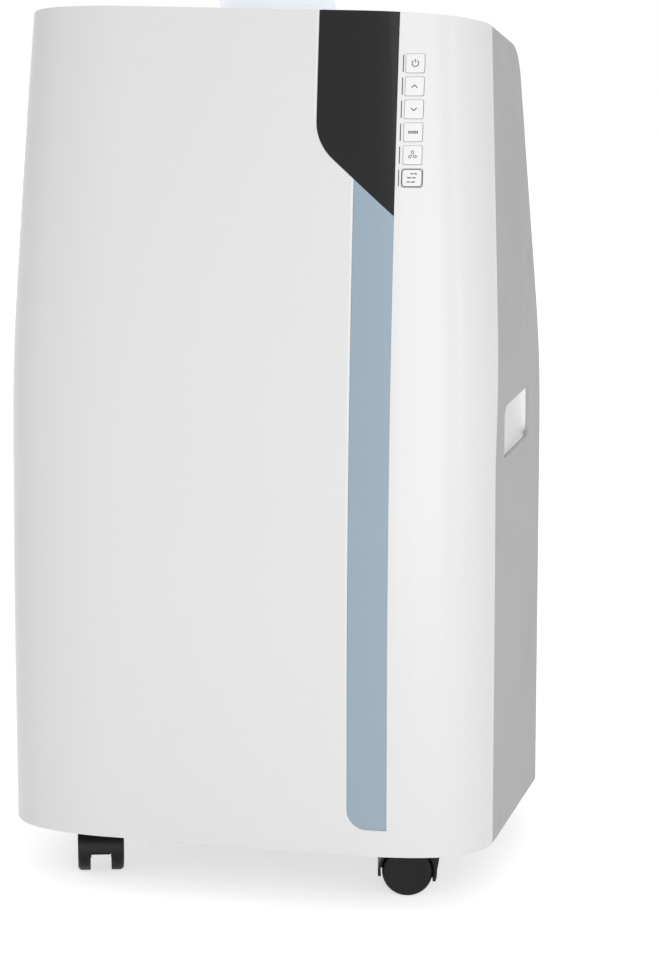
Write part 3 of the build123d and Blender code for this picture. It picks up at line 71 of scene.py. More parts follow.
# %% Camera
CAMERA_PLACE = (0.8206, -3.1722, 1.0382)
CAMERA_TURN = math.radians(13.824)
CAMERA_FALL = math.radians(11.919)
LENS_MM = 133.97

camera_data = bpy.data.cameras.new("camera")
camera_data.lens = LENS_MM
camera_data.sensor_width = 36.0
camera_data.clip_end = 50.0
camera = bpy.data.objects.new("camera", camera_data)
camera.location = CAMERA_PLACE
camera.rotation_euler = (math.pi / 2 - CAMERA_FALL, 0.0, CAMERA_TURN)
bpy.context.scene.collection.objects.link(camera)
bpy.context.scene.camera = camera
print("camera lens", LENS_MM, "mm at", CAMERA_PLACE)

# %% [markdown]
# ## Meshes from arrays
#
# Every new piece starts as a grid of points: a function of two parameters gives the place of each
# point, and neighbouring points are joined into four-sided faces. A mask leaves faces out, which
# is how the key holes and the grip openings are made: the grid has lines exactly along the edges
# of the hole. The sheet then gets its wall from a Solidify modifier and its rounded rims from a
# Bevel modifier, as a moulded cover has.

# %% Grid helpers
def grid_faces(rows, cols, mask=None):
    """Indices of the quads of a rows by cols grid of points, without those that mask leaves out."""
    index = np.arange(rows * cols).reshape(rows, cols)
    quads = np.stack([index[:-1, :-1], index[:-1, 1:], index[1:, 1:], index[1:, :-1]], -1)
    keep = np.ones(quads.shape[:2], bool) if mask is None else mask
    return quads[keep]


def new_piece(name, points, faces, smooth=True):
    """Object with these points and faces, in the scene."""
    mesh = bpy.data.meshes.new(name)
    mesh.from_pydata(points, [], faces)
    mesh.validate()
    mesh.polygons.foreach_set("use_smooth", np.full(len(mesh.polygons), smooth))
    piece = bpy.data.objects.new(name, mesh)
    bpy.context.scene.collection.objects.link(piece)
    return piece


def mesh_object(name, points, faces):
    """Smooth object from arrays; points that no face uses are dropped."""
    points = np.asarray(points, float).reshape(-1, 3)
    used, flat = np.unique(faces, return_inverse=True)
    return new_piece(name, points[used].tolist(), flat.reshape(np.shape(faces)).tolist())


def mirrored(name, points, faces, side):
    """Piece of the right half, or its mirror image where side is -1."""
    return mesh_object(name, points * (side, 1.0, 1.0), faces[:, ::side])


def outward(piece):
    """Recalculates the normals of a closed piece so that every face points out."""
    work = bmesh.new()
    work.from_mesh(piece.data)
    bmesh.ops.recalc_face_normals(work, faces=work.faces)
    work.to_mesh(piece.data)
    work.free()
    return piece


def walled(piece, wall, rim, segments=3):
    """Moulded cover: a wall of constant thickness behind the sheet, and rounded rims."""
    solidify = piece.modifiers.new("wall", "SOLIDIFY")
    solidify.thickness = wall
    solidify.offset = -1.0
    solidify.use_even_offset = True
    return rounded(piece, rim, segments)


def rounded(piece, rim, segments=2, angle=35.0):
    """Rounded rims on every sharp edge, with the flat faces kept flat by weighted normals."""
    bevel = piece.modifiers.new("rim", "BEVEL")
    bevel.width = rim
    bevel.segments = segments
    bevel.limit_method = "ANGLE"
    bevel.angle_limit = math.radians(angle)
    piece.modifiers.new("normals", "WEIGHTED_NORMAL").keep_sharp = True
    return piece


# %% [markdown]
# ## Bodies, solids and finishes
#
# A new piece has to say three things: the moving body that carries it, the plain solids that it
# stands for, and the finish that it takes. One helper says all three, and keeps a note of the
# finish, because the materials are made last.

# %% Fitting a piece to the frame
finish_of = {}


def fitted(piece, body, finish, *solids):
    """Rides the piece on a body, hides the solids that it stands for and notes its finish."""
    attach(piece, body)
    if solids:
        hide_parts(*solids)
    finish_of[piece.name] = finish
    return piece


# %% [markdown]
# ## The curve of the covers
#
# All the covers share one plan: a straight front, a gentle arc, a tight arc and a straight side.
# Going up, the front leans back along a very large arc, and the sides begin to taper half way.
# The corner itself never changes its shape, so one table of points along the corner serves every
# height: it is only moved sideways by the taper and backwards by the lean.

# %% Levels and planes read from the frame
side_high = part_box("side_panel_right")[1]
display_low, display_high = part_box("display_panel")
strip_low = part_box("accent_strip")[0]
front_low, front_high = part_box("front_panel")
FRONT_Y = -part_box("hose_collar")[1].y
BASE_Z = front_low.z
TOP_Z = front_high.z
HALF_WIDTH = round(side_high.x, 4)
SIDE_REAR_Y = side_high.y
WALL = 3.0 * MM
SHUT_GAP = 0.4 * MM
print("shell from", round(BASE_Z, 4), "to", round(TOP_Z, 4), "half width", HALF_WIDTH)

# %% Shape of the shell
FRONT_CREST = 131.6 * MM
LEAN_RADIUS = 4640.0 * MM
SIDE_BEND = 425.0 * MM
SIDE_TAPER = math.tan(math.radians(2.9))
BEND_BLEND = 100.0 * MM
TOP_FALL = math.tan(math.radians(14.3))
REAR_LEAN = math.tan(math.radians(9.1))
REAR_LEAN_START = 376.6 * MM
SEAM_DEPTH = 64.2 * MM
SEAM_BEND = 345.0 * MM
SEAM_LEAN = math.tan(math.radians(5.94))
SOFT_TURN = math.radians(18.9)
SOFT_RADIUS = 184.0 * MM
TIGHT_RADIUS = 60.0 * MM
CORNER_STRAIGHT = 2.0 * MM
print("front radius", LEAN_RADIUS, "corner radii", SOFT_RADIUS, TIGHT_RADIUS)


# %% The corner as a table
def corner_table(step=0.1 * MM, side_run=0.45):
    """Distance along the plan from the start of the corner, and x, y and the normal's angle there.

    The turning rate is 1 / radius on each arc and 0 between them. The angle is its running sum, and
    the place is the running sum of the cosine and sine of the angle.
    """
    lengths = [SOFT_RADIUS * SOFT_TURN, CORNER_STRAIGHT, TIGHT_RADIUS * (math.pi / 2 - SOFT_TURN)]
    ends = np.cumsum(lengths)
    along = np.arange(0.0, ends[-1] + side_run, step)
    middle = (along[1:] + along[:-1]) / 2
    rate = np.select([middle < ends[0], middle < ends[1], middle < ends[2]],
                     [1 / SOFT_RADIUS, 0.0, 1 / TIGHT_RADIUS], 0.0)
    angle = np.concatenate([[0.0], np.cumsum(rate * step)])
    half_angle = (angle[1:] + angle[:-1]) / 2
    x = np.concatenate([[0.0], np.cumsum(np.cos(half_angle) * step)])
    y = np.concatenate([[0.0], np.cumsum(np.sin(half_angle) * step)])
    return along, x, y, angle


ALONG, CORNER_X, CORNER_Y, CORNER_ANGLE = corner_table()
CORNER_REACH = CORNER_X[-1]
print("corner table", len(ALONG), "points, reach", round(CORNER_REACH, 4))


# %% Points on the shell
def bent(rise):
    """Zero below a bend, equal to the rise above it, and a parabola across it."""
    blend = (rise + BEND_BLEND / 2) ** 2 / (2 * BEND_BLEND)
    return np.where(rise <= -BEND_BLEND / 2, 0.0, np.where(rise >= BEND_BLEND / 2, rise, blend))


def half_width(z):
    """Half the width: constant, then less by the side's taper times the rise above its bend."""
    return HALF_WIDTH - bent(z - BASE_Z - SIDE_BEND) * SIDE_TAPER


def front_y(z):
    """The front leans back along an arc of LEAN_RADIUS that starts upright at FRONT_CREST."""
    rise = np.maximum(0.0, z - BASE_Z - FRONT_CREST)
    return FRONT_Y + LEAN_RADIUS - np.sqrt(LEAN_RADIUS ** 2 - rise ** 2)


def corner_start(z):
    """Half the width less the reach of the corner: where the straight front ends."""
    return half_width(z) - CORNER_REACH


def skin(run, z, inset=0.0):
    """Point on the shell; run is the signed distance along the plan from the front's middle."""
    run, z = np.broadcast_arrays(np.asarray(run, float), np.asarray(z, float))
    side = np.where(run < 0, -1.0, 1.0)
    along = np.abs(run) - corner_start(z)
    flat = np.minimum(along, 0.0)
    x = corner_start(z) + flat + np.interp(along, ALONG, CORNER_X)
    y = front_y(z) + np.interp(along, ALONG, CORNER_Y)
    angle = np.interp(along, ALONG, CORNER_ANGLE)
    return np.stack([side * (x - inset * np.sin(angle)), y + inset * np.cos(angle), z], -1)


def run_at_x(x, z):
    """Distance along the plan at which the right half of the shell reaches x."""
    return np.where(x <= corner_start(z), x,
                    corner_start(z) + np.interp(x - corner_start(z), CORNER_X, ALONG))


def run_at_y(y, z):
    """Distance along the plan at which the right half of the shell reaches y."""
    return corner_start(z) + np.interp(y - front_y(z), CORNER_Y, ALONG)


def face_at(x, z, inset=0.0):
    """Point on the right half of the shell at this x."""
    return skin(run_at_x(x, z), z, inset)


def side_at(y, z, inset=0.0):
    """Point on the right half of the shell at this y."""
    return skin(run_at_y(y, z), z, inset)


# %% Seams and borders of the shell
def seam_y(z):
    """Seam between front covers and side panels: upright, then leaning back in a straight line."""
    return FRONT_Y + SEAM_DEPTH + np.maximum(0.0, z - BASE_Z - SEAM_BEND) * SEAM_LEAN


def top_z(y):
    """Height of the sloping top: the front height less the fall times the way back from it."""
    return TOP_Z - (y - front_y(TOP_Z)) * TOP_FALL


def cheek_y(z):
    """Rear edge of a side panel: upright, then forward by the lean times the rise above a bend."""
    return SIDE_REAR_Y - bent(z - BASE_Z - REAR_LEAN_START) * REAR_LEAN


TOP_ROUNDS = 4


def top_of_run(run_at):
    """Height at which the column given by run_at(z) meets the sloping top, by repeated aiming."""
    z = TOP_Z
    for _ in range(TOP_ROUNDS):
        z = top_z(skin(run_at(z), z)[..., 1])
    return z


print("top half width", round(float(half_width(TOP_Z)), 4), "seam at the top",
      round(float(seam_y(TOP_Z)), 4))


# %% Spacing of grid lines
def spread(*stops, step):
    """Values from stop to stop in steps of about the given size, with every stop kept."""
    pieces = [np.linspace(a, b, max(1, int(round(abs(b - a) / step))) + 1)[:-1]
              for a, b in zip(stops[:-1], stops[1:])]
    return np.concatenate(pieces + [[stops[-1]]])


def stretch(z, low, old_high, new_high):
    """Heights above low, moved so that old_high lands on new_high."""
    return np.where(z <= low, z, low + (z - low) * (new_high - low) / (old_high - low))


def column(run_at, z_rows, low):
    """Points along run_at(z), with the heights above low stretched to end on the sloping top."""
    z = stretch(z_rows, low, TOP_Z, top_of_run(run_at))
    return skin(run_at(z), z)


def nearest(values, value):
    """Number of the grid line that lies at a value."""
    return int(np.argmin(np.abs(values - value)))


print("rows from floor to top", len(spread(BASE_Z, TOP_Z, step=9.0 * MM)))

# %% [markdown]
# ## Front panel
#
# The panel wraps the left corner and is cut away on the right for the black display and for the
# long strip under it. The cut has three kinds of edge: upright lines, a slanted line with a large
# rounded corner, and a small rounded corner at the foot. One grid carries all three. Its columns
# are upright, and each column ends where the cut begins, so the last row of points lies exactly
# on the edge. Near the cut the sheet rolls inward, which gives the soft bright lip of the moulding.

# %% Edges of the inlays
DISPLAY_LEFT, COLUMN_X = display_low.x, display_high.x
STRIP_LEFT, STRIP_FOOT = strip_low.x, strip_low.z
DISPLAY_SLANT = math.tan(math.radians(40.8))
DISPLAY_CORNER = 42.0 * MM
STRIP_CORNER = 17.0 * MM
CUT_GAP = 0.2 * MM
CORNER_FACE = display_low.z + (COLUMN_X - DISPLAY_LEFT) * DISPLAY_SLANT


def display_edge(x, grow=0.0):
    """Lower edge of the display at x: an arc that starts upright, then the slanted line.

    The arc touches the upright left edge and the slanted line, so its centre lies one radius from
    both. grow moves the whole edge outward.
    """
    radius = DISPLAY_CORNER + grow
    slope_length = math.hypot(1.0, DISPLAY_SLANT)
    left = DISPLAY_LEFT - grow
    corner = CORNER_FACE - grow * slope_length + grow * DISPLAY_SLANT
    centre_x = left + radius
    centre_z = corner - radius * DISPLAY_SLANT + radius * slope_length
    touch_x = centre_x - radius * DISPLAY_SLANT / slope_length
    line = corner - (x - left) * DISPLAY_SLANT
    arc = centre_z - np.sqrt(np.maximum(radius ** 2 - (centre_x - x) ** 2, 0.0))
    return np.where(x < touch_x, arc, line)


def strip_edge(x, grow=0.0):
    """Lower edge of the strip at x: a quarter circle, then level."""
    radius = STRIP_CORNER + grow
    centre_x = STRIP_LEFT - grow + radius
    centre_z = STRIP_FOOT - grow + radius
    arc = centre_z - np.sqrt(np.maximum(radius ** 2 - (centre_x - x) ** 2, 0.0))
    return np.where(x < centre_x, arc, STRIP_FOOT - grow)


# %% Lip of the front panel
LIP = 2.2 * MM
LIP_DEPTH = 0.55
LIP_STEPS = np.array([0.0, 0.25, 0.6, 1.1, 1.7, 2.2, 3.4]) * MM
TONGUE = np.array([0.25, 1.0]) * MM
TONGUE_SINK = 0.08 * MM


def arc_columns(left, radius, count=12):
    """Columns across a quarter circle that starts upright at left: left + radius (1 - cosine)."""
    turn = np.linspace(0.0, math.pi / 2, count + 1)[1:]
    return left + radius * (1 - np.cos(turn))


def soft_lip(distance):
    """How far the sheet has rolled inward near its cut edge: a share of a quarter circle."""
    inside = np.clip(LIP - distance, 0.0, LIP)
    return (LIP - np.sqrt(LIP ** 2 - inside ** 2)) * LIP_DEPTH


print("lip depth at the edge", round(float(soft_lip(0.0)) / MM, 2), "mm")

# %% Front panel
SLANT_LEVEL = 0.52
TOP_LEVEL = 0.70
WRAP_COLUMNS = 60
FOOT_STEP, MIDDLE_STEP, HEAD_STEP = 0.006, 0.009, 0.008


def front_cover():
    """Columns from the left seam to the key column; each ends at the top or at an inlay.

    The rows are close together where a cut begins. In each column the heights above a level are
    stretched, so that the last row lies on the edge, and the lip's depth is taken from the
    distance to the edge.
    """
    left = DISPLAY_LEFT - CUT_GAP
    middle = STRIP_LEFT - CUT_GAP
    row_a = float(display_edge(left, CUT_GAP))
    row_c = float(strip_edge(middle, CUT_GAP))
    z_rows = np.concatenate([
        spread(BASE_Z, row_c - 4 * LIP, step=FOOT_STEP)[:-1], row_c - LIP_STEPS[::-1] * 1.5,
        spread(row_c, SLANT_LEVEL, step=MIDDLE_STEP)[1:],
        spread(SLANT_LEVEL, row_a - 4 * LIP, step=HEAD_STEP)[1:], row_a - LIP_STEPS[::-1],
        spread(row_a, TOP_Z, step=HEAD_STEP)[1:]])
    z_rows = np.unique(np.round(z_rows, 7))

    def seam(z):
        """Run of the left seam, half a gap in front of the side panel."""
        return -run_at_y(seam_y(z) - SHUT_GAP / 2, z)

    share = np.linspace(0, 1, WRAP_COLUMNS + 1)
    strips = []
    for part in share:
        strips.append(column(lambda z: seam(z) + (left - LIP_STEPS[-1] - seam(z)) * part,
                             z_rows, TOP_LEVEL))
    for near in LIP_STEPS[::-1][1:]:
        x = left - near
        z = stretch(z_rows, TOP_LEVEL, TOP_Z, top_of_run(lambda level: x))
        rolled = soft_lip(np.hypot(near, np.maximum(row_a - z, 0.0)))
        strips.append(skin(x, z, rolled))

    arc = arc_columns(left, DISPLAY_CORNER + CUT_GAP)
    slant_cols = np.unique(np.concatenate([arc[arc < middle - LIP_STEPS[-1] * 1.5],
                                           middle - LIP_STEPS]))
    slant_cols = slant_cols[slant_cols > left + 1e-6]
    for x in slant_cols:
        edge = float(display_edge(x, CUT_GAP))
        z = stretch(np.minimum(z_rows, row_a), SLANT_LEVEL, row_a, edge)
        level = (edge - z) / math.hypot(1.0, DISPLAY_SLANT)
        side = np.hypot(middle - x, np.maximum(row_c - z, 0.0))
        strips.append(skin(x, z, np.maximum(soft_lip(level), soft_lip(side))))

    foot_cols = np.concatenate([arc_columns(middle, STRIP_CORNER + CUT_GAP, 10),
                                spread(middle + STRIP_CORNER + CUT_GAP, COLUMN_X, step=0.005)[1:],
                                COLUMN_X + TONGUE])
    for x in foot_cols:
        edge = float(strip_edge(x, CUT_GAP))
        z = stretch(np.minimum(z_rows, row_c), BASE_Z, row_c, edge)
        under = TONGUE_SINK * float(x > COLUMN_X + TONGUE[0] / 2)
        strips.append(face_at(x, z, np.maximum(soft_lip(edge - z), under)))

    points = np.stack(strips, 1)
    mask = np.ones((points.shape[0] - 1, points.shape[1] - 1), bool)
    end_a = len(share) + len(LIP_STEPS) - 2
    end_b = end_a + len(slant_cols)
    mask[nearest(z_rows, row_a):, end_a:] = False
    mask[nearest(z_rows, row_c):, end_b:] = False
    return mesh_object("front_cover", points, grid_faces(*points.shape[:2], mask))


front_cover_piece = walled(front_cover(), WALL, 0.5 * MM)
fitted(front_cover_piece, "cabinet", "shell_white", "front_panel")
print("front cover faces", len(front_cover_piece.data.polygons))

# %% [markdown]
# ## Display and accent strip
#
# Both inlays lie a little below the face of the panel. They are grids with upright columns too:
# the foot of each column is the curved edge that the panel has, and its head is the top of the
# unit or the slanted edge of the display.

# %% Display and strip
INLAY_DEEP = 0.7 * MM
INLAY_THICK = 1.8 * MM
INLAY_RIM = 0.35 * MM


def inlay(name, columns, foot, head, rows):
    """Sheet between foot(x) and head(x), at the depth of the inlays."""
    share = np.linspace(0.0, 1.0, rows + 1)
    strips = []
    for x in columns:
        z = foot(x) + (head(x) - foot(x)) * share
        strips.append(face_at(x, z, INLAY_DEEP))
    points = np.stack(strips, 1)
    sheet = mesh_object(name, points, grid_faces(*points.shape[:2]))
    return walled(sheet, INLAY_THICK, INLAY_RIM, 2)


def inlay_top(x):
    """Height at which an inlay's column at x meets the sloping top."""
    return float(top_of_run(lambda level: run_at_x(x, level)))


display_cols = np.concatenate([[DISPLAY_LEFT],
                               arc_columns(DISPLAY_LEFT, DISPLAY_CORNER, count=14)])
display_cols = np.append(display_cols[display_cols < COLUMN_X - 0.003],
                         spread(DISPLAY_LEFT + DISPLAY_CORNER, COLUMN_X, step=0.004)[1:])
display_piece = inlay("display_glass", display_cols, lambda x: float(display_edge(x)),
                      inlay_top, rows=40)
fitted(display_piece, "cabinet", "display_black", "display_panel")

strip_cols = np.concatenate([[STRIP_LEFT], arc_columns(STRIP_LEFT, STRIP_CORNER, count=10),
                             spread(STRIP_LEFT + STRIP_CORNER, COLUMN_X, step=0.004)[1:]])
strip_piece = inlay("accent_inlay", strip_cols, lambda x: float(strip_edge(x)),
                    lambda x: float(display_edge(x, CUT_GAP)), rows=90)
fitted(strip_piece, "cabinet", "strip_blue", "accent_strip")
print("display columns", len(display_cols), "strip columns", len(strip_cols))

# %% [markdown]
# ## Holes with round corners
#
# A grid can only leave out whole faces, so a hole with round corners takes two steps. First a
# rectangle a little larger than the hole is left out. Then a few rings of new points lead from the
# border of that rectangle to the true edge: each border point moves towards the nearest point of
# the edge, which lies straight across on a side and towards the arc's centre at a corner.

# %% Rings round a hole
def edge_point(point, box, radii):
    """Nearest point on a rectangle (low a, high a, low b, high b) with a radius at each corner.

    radii are given in the order (low a, low b), (high a, low b), (high a, high b), (low a, high b).
    """
    a_low, a_high, b_low, b_high = box
    corners = ((a_low, b_low, 1, 1), (a_high, b_low, -1, 1), (a_high, b_high, -1, -1),
               (a_low, b_high, 1, -1))
    for (a, b, way_a, way_b), radius in zip(corners, radii):
        centre = np.array([a + way_a * radius, b + way_b * radius])
        offset = np.asarray(point) - centre
        if offset[0] * way_a < 0 and offset[1] * way_b < 0:
            return centre + offset / np.hypot(*offset) * radius
    return np.clip(point, (a_low, b_low), (a_high, b_high))


def corner_lines(low, high, margin, radii):
    """Grid lines of one hole along one axis: its outer border and a few lines at the corners.

    The lines lie at four shares of the corner's reach, which is its radius and the margin.
    """
    steps = np.array([0.0, 0.35, 0.7, 1.0])
    first = low - margin + (1 - steps[::-1]) * (radii[0] + margin)
    last = high + margin - (1 - steps) * (radii[1] + margin)
    return np.concatenate([first, last])


def border_of(rows, cols):
    """Row and column numbers round the border of a block of grid lines, in order."""
    (r0, r1), (c0, c1) = rows, cols
    return ([(r0, c) for c in range(c0, c1)] + [(r, c1) for r in range(r0, r1)]
            + [(r1, c) for c in range(c1, c0, -1)] + [(r, c0) for r in range(r1, r0, -1)])


def add_rings(points, faces, plan, lines, box, radii, place, rings=3):
    """Adds the rings of faces between the border of a left-out block and the hole's edge.

    plan holds the two flat coordinates of every grid point, lines the first and last rows and
    columns of the block, and place turns a pair of flat coordinates into a point.
    """
    border = border_of(*lines)
    outer = np.array([plan[r, c] for r, c in border])
    inner = np.array([edge_point(point, box, radii) for point in outer])
    previous = np.array([r * plan.shape[1] + c for r, c in border])
    for share in np.linspace(0.0, 1.0, rings + 1)[1:]:
        flat = outer + (inner - outer) * share
        following = len(points) + np.arange(len(flat))
        points += place(flat[:, 0], flat[:, 1]).tolist()
        faces += np.stack([previous, np.roll(previous, -1), np.roll(following, -1), following],
                          -1).tolist()
        previous = following


# %% Blocks left out of a grid
def block_mask(shape, blocks):
    """True for every face of a grid that lies in none of the blocks of (rows, columns)."""
    mask = np.ones((shape[0] - 1, shape[1] - 1), bool)
    for rows, cols in blocks:
        mask[rows[0]:rows[1], cols[0]:cols[1]] = False
    return mask


# %% [markdown]
# ## Key column
#
# The column wraps the right corner, from the inlays to the seam of the side panel. The faces of
# the grid at the six keys are left out, and rings with round corners take their place.

# %% Holes for the keys
KEY_NAMES = ["power", "up", "down", "mode", "fan", "timer"]
KEY_GAP = 0.27 * MM
key_boxes = {name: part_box(f"key_{name}") for name in KEY_NAMES}
KEY_LIP = 1.2 * MM
KEY_CORNER = 1.6 * MM
HOLE_MARGIN = 1.0 * MM
MEET_GAP = 0.02 * MM
CHEEK_COLUMNS = 40


def key_hole(name):
    """Low and high x and z of a key's hole: the hidden flange stands out past it by the key lip."""
    low, high = key_boxes[name]
    return low.x + KEY_LIP, high.x - KEY_LIP, low.z + KEY_LIP, high.z - KEY_LIP


def key_middle(name):
    """Centre and half size of a key's hole, each as (x, z)."""
    x_low, x_high, z_low, z_high = key_hole(name)
    return (np.array([x_low + x_high, z_low + z_high]) / 2,
            np.array([x_high - x_low, z_high - z_low]) / 2)


print("key holes", [round(2 * float(key_middle(name)[1][0]) / MM, 1) for name in KEY_NAMES], "mm")


# %% Key column
def key_column():
    """Columns at constant x across the keys, then at equal shares of the way round to the seam.

    The grid has lines on the borders of all six holes. The rows above the uppermost hole are
    stretched to end on the sloping top.
    """
    holes = [key_hole(name) for name in KEY_NAMES]
    x_lines = [corner_lines(*hole[:2], HOLE_MARGIN, (KEY_CORNER, KEY_CORNER)) for hole in holes]
    z_lines = [corner_lines(*hole[2:], HOLE_MARGIN, (KEY_CORNER, KEY_CORNER)) for hole in holes]
    x_fixed = np.unique(np.round(np.concatenate(x_lines), 6))
    z_fixed = np.unique(np.round(np.concatenate(z_lines), 6))
    z_rows = np.unique(np.concatenate([spread(BASE_Z, z_fixed[0], step=0.009), z_fixed,
                                       spread(z_fixed[-1], TOP_Z, step=0.008)]))
    x_cols = np.concatenate([spread(COLUMN_X + MEET_GAP, x_fixed[0], step=0.003)[:-1], x_fixed])
    top_row = z_fixed[-1]
    strips = [column(lambda z: run_at_x(x, z), z_rows, top_row) for x in x_cols]
    for part in np.linspace(0.0, 1.0, CHEEK_COLUMNS + 1)[1:]:
        def run_at(z):
            """Share of the way from the last key column to the seam."""
            start = run_at_x(x_cols[-1], z)
            return start + (run_at_y(seam_y(z) - SHUT_GAP / 2, z) - start) * part
        strips.append(column(run_at, z_rows, top_row))
    grid = np.stack(strips, 1)
    plan = np.stack(np.meshgrid(np.append(x_cols, np.zeros(CHEEK_COLUMNS)), z_rows), -1)
    points, rings, blocks = grid.reshape(-1, 3).tolist(), [], []
    for hole, x_line, z_line in zip(holes, x_lines, z_lines):
        blocks.append(([nearest(z_rows, z) for z in z_line[[0, -1]]],
                       [nearest(x_cols, x) for x in x_line[[0, -1]]]))
        add_rings(points, rings, plan, blocks[-1], hole, [KEY_CORNER] * 4, face_at)
    faces = np.vstack([grid_faces(*grid.shape[:2], block_mask(grid.shape, blocks)), rings])
    return mesh_object("key_column_cover", points, faces)


column_piece = walled(key_column(), WALL, 0.15 * MM, 2)
fitted(column_piece, "cabinet", "shell_white", "control_column")
print("key column faces", len(column_piece.data.polygons))

# %% [markdown]
# ## Side panels
#
# A side panel is nearly flat. Below the grip and beside it, its columns are upright, so that they
# can follow the edges of the grip opening. Above the grip they fan out towards the sloping top and
# the rounded rear corner: there the sheet is a blend of its four border curves, which keeps the
# round corner exact without a separate patch.

# %% Opening of the grip
cup_low, cup_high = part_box("handle_cup_right")
CHEEK_RADIUS = 42.0 * MM
GRIP_WALL = 2.0 * MM
GRIP_LOW = cup_low.z + GRIP_WALL
GRIP_HIGH = cup_high.z - GRIP_WALL
GRIP_FRONT = cup_low.y + GRIP_WALL
GRIP_REAR = cup_high.y - GRIP_WALL
GRIP_MARGIN = 3.0 * MM
GRIP_SOFT = 12.0 * MM
GRIP_CRISP = 2.0 * MM
GRIP_BOX = (GRIP_FRONT, GRIP_REAR, GRIP_LOW, GRIP_HIGH)
GRIP_RADII = (GRIP_CRISP, GRIP_SOFT, GRIP_CRISP, GRIP_SOFT)
FAN_LEVEL = 0.60
SIDES = ((1, "right"), (-1, "left"))
print("grip opening", round((GRIP_REAR - GRIP_FRONT) / MM, 1), "by",
      round((GRIP_HIGH - GRIP_LOW) / MM, 1), "mm")


# %% Rear corner of a side panel
def smooth_step(share):
    """3 s squared less 2 s cubed: from 0 to 1 with no slope at either end."""
    return share * share * (3 - 2 * share)


def resample(points, shares):
    """Points at given shares of the length of a polyline of (y, z) points."""
    points = np.asarray(points, float)
    length = np.concatenate([[0.0], np.cumsum(np.hypot(*np.diff(points, axis=0).T))])
    at = np.asarray(shares) * length[-1]
    return np.stack([np.interp(at, length, points[:, 0]), np.interp(at, length, points[:, 1])], -1)


def rear_corner(count=24):
    """Upper rear corner of the side: rear edge, arc and top line meet without a kink.

    The arc's centre lies on the line that halves the corner's angle, at the radius over the sine of
    half that angle. Its points are a blend of the two touching radii by sines of their turn.
    """
    y = cheek_y(TOP_Z)
    for _ in range(8):
        y = cheek_y(top_z(y))
    corner = np.array([y, top_z(y)])
    down = np.array([cheek_y(FAN_LEVEL), FAN_LEVEL]) - corner
    down /= np.hypot(*down)
    ahead = np.array([-1.0, TOP_FALL]) / math.hypot(1.0, TOP_FALL)
    opening = math.acos(float(down @ ahead))
    tangent = CHEEK_RADIUS / math.tan(opening / 2)
    middle = (down + ahead) / np.hypot(*(down + ahead))
    centre = corner + middle * CHEEK_RADIUS / math.sin(opening / 2)
    first, last = corner + down * tangent - centre, corner + ahead * tangent - centre
    turn = np.linspace(0.0, 1.0, count + 1)[:, None]
    sweep = math.pi - opening
    arc = np.sin((1 - turn) * sweep) * first + np.sin(turn * sweep) * last
    return centre + arc / math.sin(sweep)


print("rear corner", len(rear_corner()), "points")

# %% Side panels
SIDE_STEP = 0.012
SEAM_HEAD = TOP_Z - 0.012
FAN_ROWS = 25


